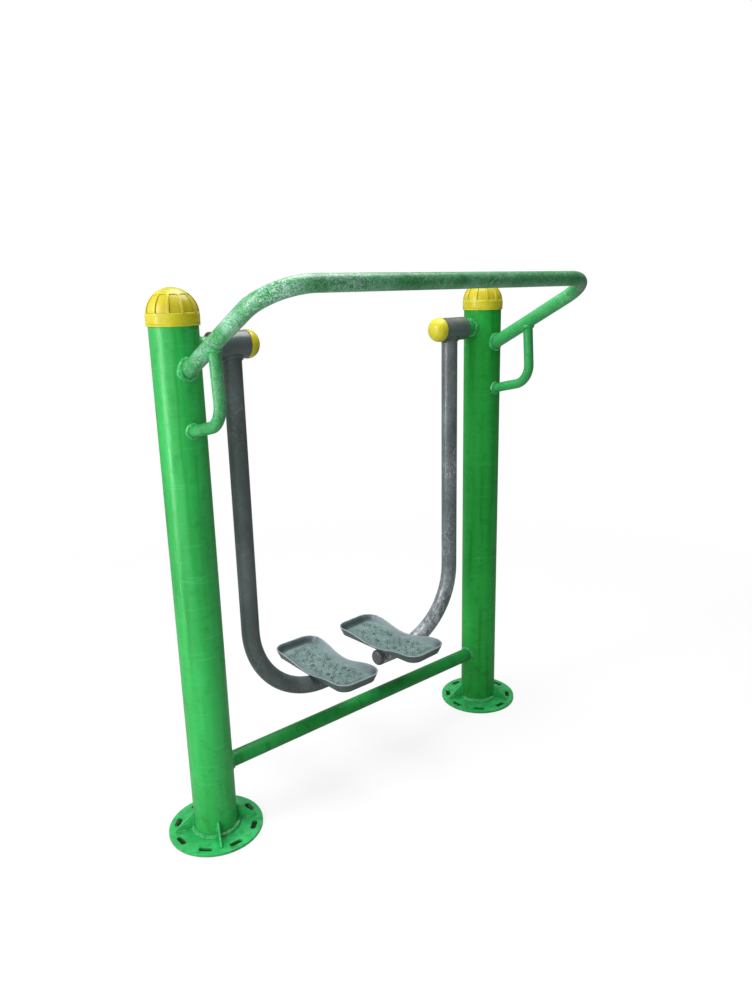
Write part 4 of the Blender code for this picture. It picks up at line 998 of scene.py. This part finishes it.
def plate_rows(inset):
    """Places along the plate, close together where its corners turn."""
    side_half = PLATE_LENGTH / 2 - PLATE_CORNER
    radius = PLATE_CORNER - inset
    half = [side_half * k / PLATE_ROWS for k in range(PLATE_ROWS + 1)]
    half += [side_half + radius * sin(pi / 2 * k / PLATE_CORNER_ROWS)
             for k in range(1, PLATE_CORNER_ROWS + 1)]
    return [-y for y in half[:0:-1]] + half


def plate_loop(inset):
    """The outline at an inset as a closed loop that starts at the left of the -Y end."""
    rows = plate_rows(inset)
    wide = PLATE_END_WIDTH / 2 - PLATE_CORNER
    across = [-wide + 2 * wide * j / PLATE_COLUMNS for j in range(PLATE_COLUMNS + 1)]
    points = [(x, rows[0]) for x in across]
    points += [(half_width(y, inset), y) for y in rows[1:-1]]
    points += [(-x, rows[-1]) for x in across]
    points += [(-half_width(y, inset), y) for y in rows[-2:0:-1]]
    return [Vector((x, y, 0)) for x, y in points]


def wall_rows():
    """The wall's rows from its foot over the rolled lip and down the cove to the floor. Each is a function
    for its inset and height along the plate, with its shares of inner wall, outer wall and lip."""
    foot_height, lip, lip_width, lip_low = 0.0014, 0.0026, 0.0044, 0.55
    cove_at_waist, cove_less_at_ends = 0.014, 0.008

    def foot_row(inset, height):
        return lambda y: (PLATE_FLARE + inset, height), (0, 1, 0)

    def lip_row(inset, drop, *shares):
        return lambda y: (flare(y) + inset, rim_height(y) - lip * drop), shares

    def middle(y):
        """Seven tenths of the way up the outer wall."""
        return 0.75 * flare(y) + 0.25 * PLATE_FLARE, foot_height + 0.7 * (rim_height(y) - 0.0034)

    def cove_row(share):
        def spot(y):
            start = flare(y) + lip_width
            end = PLATE_FLARE + PLATE_WALL + cove_at_waist - cove_less_at_ends * rim_share(y)
            rise = rim_height(y) - lip * lip_low - PLATE_FLOOR
            return start + (end - start) * (1 - (1 - share) ** 1.25), PLATE_FLOOR + rise * (1 - share) ** 1.9
        return spot, (1.0 - 0.9 * share ** 3, 0, 0)

    rows = [foot_row(0.0012, 0.0), foot_row(0.0003, 0.0004), foot_row(0.0, foot_height), (middle, (0, 1, 0)),
            lip_row(0.0012, 1.15, 0, 1, 0), lip_row(0.0001, 0.85, 0, 0.3, 0.6),
            lip_row(-0.0002, 0.45, 0, 0, 1), lip_row(0.0006, 0.12, 0, 0, 1), lip_row(0.0020, 0.0, 0.2, 0, 1),
            lip_row(0.0034, 0.12, 0.5, 0, 0.8), lip_row(lip_width, lip_low, 0.9, 0, 0.3)]
    return rows + [cove_row(share) for share in (0.25, 0.5, 0.72, 0.87, 0.96, 1.0)]


def make_walls(bm, marks):
    """The wall's loops, with the marks that its finish goes by."""
    heel_start, heel_blend = 0.120, 0.03
    outline = list(zip(plate_loop(0), plate_loop(PLATE_FLARE)))
    walls = []
    for spot, shares in wall_rows():
        points = []
        for rim, foot in outline:
            inset, height = spot(rim.y)
            points.append(rim + (foot - rim) / PLATE_FLARE * inset + height * UP)
        walls.append(ring(bm, points))
        for vert in walls[-1]:
            for kind, share in zip(("wall", "outer", "lip"), shares):
                vert[marks[kind]] = share
            # Painted shade: the heel mark darkens the inner wall towards toe and heel.
            vert[marks["heel"]] = shares[0] * min(max((abs(vert.co.y) - heel_start) / heel_blend, 0), 1)
    skin(bm, walls)
    return walls


def bar_gap(x, y):
    """Distance from a place on the floor to the nearest raised bar: short bars that lean to and fro."""
    pitch, half_long, half_wide = 0.0135, 0.0047, 0.00135
    bolt_room, drain_room, wall_room, last_row = 0.015, 0.0090, 0.009, 9
    near = 9.0
    rows = round(y / pitch)
    for row in (rows - 1, rows, rows + 1):
        if abs(row) > last_row:
            continue
        cy = row * pitch
        shift = pitch * 0.5 if row % 2 else 0
        column = round((x - shift) / pitch)
        for col in (column - 1, column, column + 1):
            cx = col * pitch + shift
            wall = half_width(cy, 0) - PLATE_FLARE - PLATE_WALL - abs(cx)
            bolt, drain = nearest(cx, cy + PLATE_SETBACK, BOLT_PLACES), nearest(cx, cy, DRAIN_PLACES)
            if wall < wall_room or bolt < bolt_room or drain < drain_room:
                continue
            lean = radians(45 if (row + col) % 2 else -45)
            u = (x - cx) * cos(lean) + (y - cy) * sin(lean)
            v = (y - cy) * cos(lean) - (x - cx) * sin(lean)
            near = min(near, hypot(max(abs(u) - half_long, 0), v) - half_wide)
    return near


def end_rib_gap(x, y):
    """Distance from a place on the floor to the nearest of three ribs across toe and heel."""
    first, pitch, half_long, half_wide = -0.0125, -0.0085, 0.040, 0.0012
    end = abs(y) - (PLATE_LENGTH / 2 - PLATE_FLARE - PLATE_WALL)
    return min(hypot(max(abs(x) - half_long, 0), end - first - pitch * k) for k in range(3)) - half_wide


def tread(x, y):
    """The floor's anti-slip pattern at a place: the share of its height, and how dark its hollows are."""
    near = min(bar_gap(x, y), end_rib_gap(x, y))
    bolt, drain = nearest(x, y + PLATE_SETBACK, BOLT_PLACES), nearest(x, y, DRAIN_PLACES)
    bar_foot, bar_fade, bar_slope, bolt_ring, hole_fade = 0.0008, 0.0022, 0.0010, 0.0080, 0.0030
    # How dark the hollows are painted: painted shade and dirt at bar feet, round bolts and at drain edges.
    hollow = max(0.0, 1 - abs(near - bar_foot) / bar_fade, 0.5 - abs(bolt - bolt_ring) / hole_fade,
                 0.9 - abs(drain - DRAIN_DIAMETER / 2) / hole_fade)
    return smooth_step(0.55 - near / bar_slope), hollow


def make_floor(bm, marks, edge, seed):
    """The floor as a grid inside the last loop of the wall, raised where the tread is."""
    rows = len(plate_rows(0))
    wide = PLATE_COLUMNS + 1
    tread_height = 0.0014
    mean, swing, scale = 0.68, 2.4, 38
    grid = [edge[:wide]]
    for i in range(1, rows - 1):
        right, left = edge[wide + i - 1], edge[-i]
        middle = ring(bm, [left.co.lerp(right.co, j / (wide - 1)) for j in range(1, wide - 1)])
        for vert in middle:
            rise, low = tread(vert.co.x, vert.co.y)
            vert.co.z = PLATE_FLOOR + tread_height * rise
            vert[marks["raised"]] = rise
            # Painted shade and dirt: the hollow mark darkens the hollows, patchy by noise.
            shade_and_dirt_patches = mean + swing * noise.noise(vert.co * scale + seed * UP)
            vert[marks["hollow"]] = low * min(max(shade_and_dirt_patches, 0), 1)
        grid.append([left, *middle, right])
    grid.append(edge[wide + rows - 2:wide + rows - 2 + wide][::-1])
    for near, far in zip(grid, grid[1:]):
        for j in range(wide - 1):
            bm.faces.new((near[j], near[j + 1], far[j + 1], far[j]))


def make_underside(bm, foot):
    rings = [foot]
    for share in (0.75, 0.5, 0.25):
        rings.append(ring(bm, [Vector((vert.co.x * share, vert.co.y * share, 0)) for vert in foot]))
    skin(bm, rings)
    bm.faces.new(rings[-1])


def plate_holes(place):
    """Three drain holes each under toes and heel, and the holes of the four bolts."""
    holes = bmesh.new()
    spots = [(x, y, DRAIN_DIAMETER / 2) for x, y in DRAIN_PLACES]
    spots += [(x, y - PLATE_SETBACK, BOLT_HOLE_RADIUS) for x, y in BOLT_PLACES]
    for x, y, radius in spots:
        add_rod(holes, radius, 4 * PLATE_FLOOR, BOLT_FACETS, place @ Matrix.Translation((x, y, 0)))
    return holes


def plate_ribs(place):
    """Four stiffening ribs under the floor, with draft and sloping ends."""
    ribs = bmesh.new()
    start = SADDLE_WIDTH / 2 + PLATE_SETBACK + PLATE_RIB_HEIGHT
    end = PLATE_LENGTH / 2 - PLATE_CORNER
    half = PLATE_RIB_THICKNESS / 2
    levels = ((PLATE_FLOOR / 2, half * 1.2, 0), (0, half * 1.15, 0),
              (-PLATE_RIB_HEIGHT * 0.85, half * 0.85, 0.003), (-PLATE_RIB_HEIGHT, half * 0.5, 0.004))
    for x in (-PLATE_RIB_SPACING / 2, PLATE_RIB_SPACING / 2):
        for way in (-1, 1):
            rings = []
            for z, wide, slope in levels:
                near, far = way * (start + slope), way * (end - slope)
                corners = ((x - wide, near), (x + wide, near), (x + wide, far), (x - wide, far))
                rings.append(ring(ribs, [place @ Vector((*corner, z)) for corner in corners]))
            skin(ribs, rings)
            ribs.faces.new(rings[0])
            ribs.faces.new(rings[-1])
    bmesh.ops.recalc_face_normals(ribs, faces=ribs.faces)
    return ribs


def make_footplate(side):
    """The cast tray: flared wall with a rolled lip, broad coves, patterned floor, drain holes and ribs."""
    place = plate_seat(side) @ Matrix.Translation((0, PLATE_SETBACK, SADDLE_TOP + GAP))
    bm = bmesh.new()
    kinds = ("raised", "hollow", "wall", "outer", "lip", "heel")
    marks = {kind: bm.verts.layers.float.new(kind) for kind in kinds}
    walls = make_walls(bm, marks)
    make_floor(bm, marks, walls[-1], SIDES[side])
    make_underside(bm, walls[0])
    bm.transform(place)
    tray = make(f"{side}_cast_footplate", bm, CAST, f"{side}_walker", "cast_coat", f"{side}_footplate")
    shaped(tray, ("UNION", plate_ribs(place)), ("DIFFERENCE", plate_holes(place)), sharp=55)


def make_fixings(side):
    """Low domed bolt heads on washers, with their nuts under the saddle plate."""
    head = SADDLE_TOP + GAP + PLATE_FLOOR + GAP
    under = SADDLE_TOP - SADDLE_THICKNESS - GAP
    profile = [(under + up, out) for out, up in NUT_OUTLINE] + [(head + up, out) for out, up in HEAD_OUTLINE]
    for number, (x, y) in enumerate(BOLT_PLACES, 1):
        shape = turned(profile, BOLT_FACETS, UP, Vector((x, y, 0)), closed=False)
        shape.transform(plate_seat(side))
        make(f"{side}_fixing_{number}", shape, DULL, f"{side}_walker", "bright_steel",
             f"{side}_footplate_bolt_{number}")


def make_saddle(side):
    softened(f"{side}_saddle", f"{side}_saddle_plate", GREY[side], f"{side}_walker", "grey_coat")


# Camera, light and floor

def make_camera():
    eye = Vector((-1.3642, -1.697 + POST_LINE, 1.4015))
    heading, dip, roll = 0.7021, 0.264, -0.0225
    focal_pixels, picture_width = 790.0, 752
    lens = bpy.data.cameras.new("camera")
    lens.sensor_fit = "HORIZONTAL"
    lens.sensor_width = 36
    lens.lens = focal_pixels * lens.sensor_width / picture_width
    lens.clip_end = 100
    camera = add_object("camera", lens)
    aim = Matrix.Rotation(-heading, 4, "Z") @ Matrix.Rotation(pi / 2 - dip, 4, "X")
    camera.matrix_world = Matrix.Translation(eye) @ aim @ Matrix.Rotation(roll, 4, "Z")
    bpy.context.scene.camera = camera


def lamp(name, place, aim, size, power, colour=(1, 1, 1), height=None):
    data = bpy.data.lights.new(name, "AREA")
    data.energy = power
    data.color = colour
    data.size = size
    if height:
        data.shape = "RECTANGLE"
        data.size_y = height
    thing = add_object(name, data)
    thing.location = place
    thing.rotation_euler = (Vector(aim) - Vector(place)).to_track_quat("-Z", "Y").to_euler()
    return thing


def make_lamps():
    lamp("key", place=(-3.7, 0.85, 2.5), aim=(0.0, 0.1, 0.8), size=1.4, power=86, colour=(1.0, 0.99, 0.97))
    lamp("top", place=(0.45, 0.3, 3.4), aim=(0.1, 0.1, 0.4), size=2.0, power=76)
    near = lamp("near_fill", place=(-1.62, -0.62, 0.95), aim=(-0.5, 0.1, 0.95), size=0.5, power=15,
                colour=(1.0, 1.0, 0.98), height=2.0)
    near.visible_camera = near.visible_glossy = False
    streak = lamp("streak", place=(-2.9, 0.5, 0.72), aim=(0.0, 0.1, 0.72), size=0.14, power=22, height=1.3)
    streak.visible_camera = streak.visible_diffuse = False


def make_world():
    """White to the camera. To all else it is soft light that is brighter on the side of the key lamp."""
    world = bpy.data.worlds.new("studio")
    world.use_nodes = True
    world.node_tree.nodes.clear()
    n = Nodes(world.node_tree)
    way = n.node("TexCoord").outputs["Generated"]
    to_key_lamp = Vector((-0.80, 0.42, 0.42)).normalized()
    toward = n.node("VectorMath", {0: way, 1: to_key_lamp}, operation="DOT_PRODUCT")
    level = n.spread(toward.outputs["Value"], 0.02, 0.74, -1.0, 1.0)
    soft = n.node("Background", {"Color": (0.95, 0.98, 1.0), "Strength": level})
    seen = n.node("Background", {"Color": (1, 1, 1), "Strength": 1.0})
    camera_ray = n.node("LightPath").outputs["Is Camera Ray"]
    mix = n.node("MixShader", {0: camera_ray, 1: soft.outputs[0], 2: seen.outputs[0]})
    n.node("OutputWorld", {"Surface": mix.outputs[0]})
    bpy.context.scene.world = world


def make_backdrop():
    bm = bmesh.new()
    bmesh.ops.create_circle(bm, cap_ends=True, segments=96, radius=14)
    floor = add_object("floor", mesh_from(bm, "floor"))
    floor.location.z = -FLOOR_DROP
    floor.data.materials.append(floor_material())


def floor_material():
    """Pale floor: white to the camera further off, with the object's shadow near it, and painted shade: a
    dark patch under each foot.
    """
    material = bpy.data.materials.new("floor")
    material.use_nodes = True
    n = Nodes(material.node_tree)
    place = n.node("TexCoord").outputs["Object"]
    camera_ray = n.node("LightPath").outputs["Is Camera Ray"]

    def away_from(spot, near, far):
        """0 within the near distance of a place on the floor and 1 beyond the far one."""
        gap = n.node("VectorMath", {0: place, 1: spot}, operation="DISTANCE")
        return n.spread(gap.outputs["Value"], 0.0, 1.0, near, far, interpolation_type="SMOOTHSTEP")

    def times(first, second):
        return n.node("Math", {0: first, 1: second}, operation="MULTIPLY").outputs[0]

    # Painted shade: the floor under each flange is dark, and shows so through the slots.
    feet = times(*[away_from(on_post(side), near=0.108, far=0.122) for side in SIDES])
    white = n.spread(away_from((0, 0, 0), near=0.8, far=3.2), 0.80, 1.0, 0.0, 1.0)
    tone = n.mix(camera_ray, (0.36, 0.37, 0.36), (0.92, 0.92, 0.92))
    shader = material.node_tree.nodes["Principled BSDF"]
    n.feed(shader, {"Roughness": 0.9, "Specular IOR Level": 0.1,
                    "Base Color": n.mix(feet, (0.020, 0.045, 0.022), tone)})
    glow = n.node("Emission", {"Color": (1, 1, 1)})
    share = times(times(camera_ray, white), feet)
    mix = n.node("MixShader", {0: share, 1: shader.outputs[0], 2: glow.outputs[0]})
    n.feed(material.node_tree.nodes["Material Output"], {"Surface": mix.outputs[0]})
    return material


bpy.context.scene.view_settings.view_transform = "Standard"
dress_nodes()
make_handrail()
make_crossbeam()
for side in SIDES:
    for make_piece in (make_post, make_grip, make_foot, make_cap, make_collar, make_hub, make_ball_cap,
                       make_arm, make_plug, make_footplate, make_fixings, make_saddle):
        make_piece(side)
make_world()
make_lamps()
make_backdrop()
make_camera()
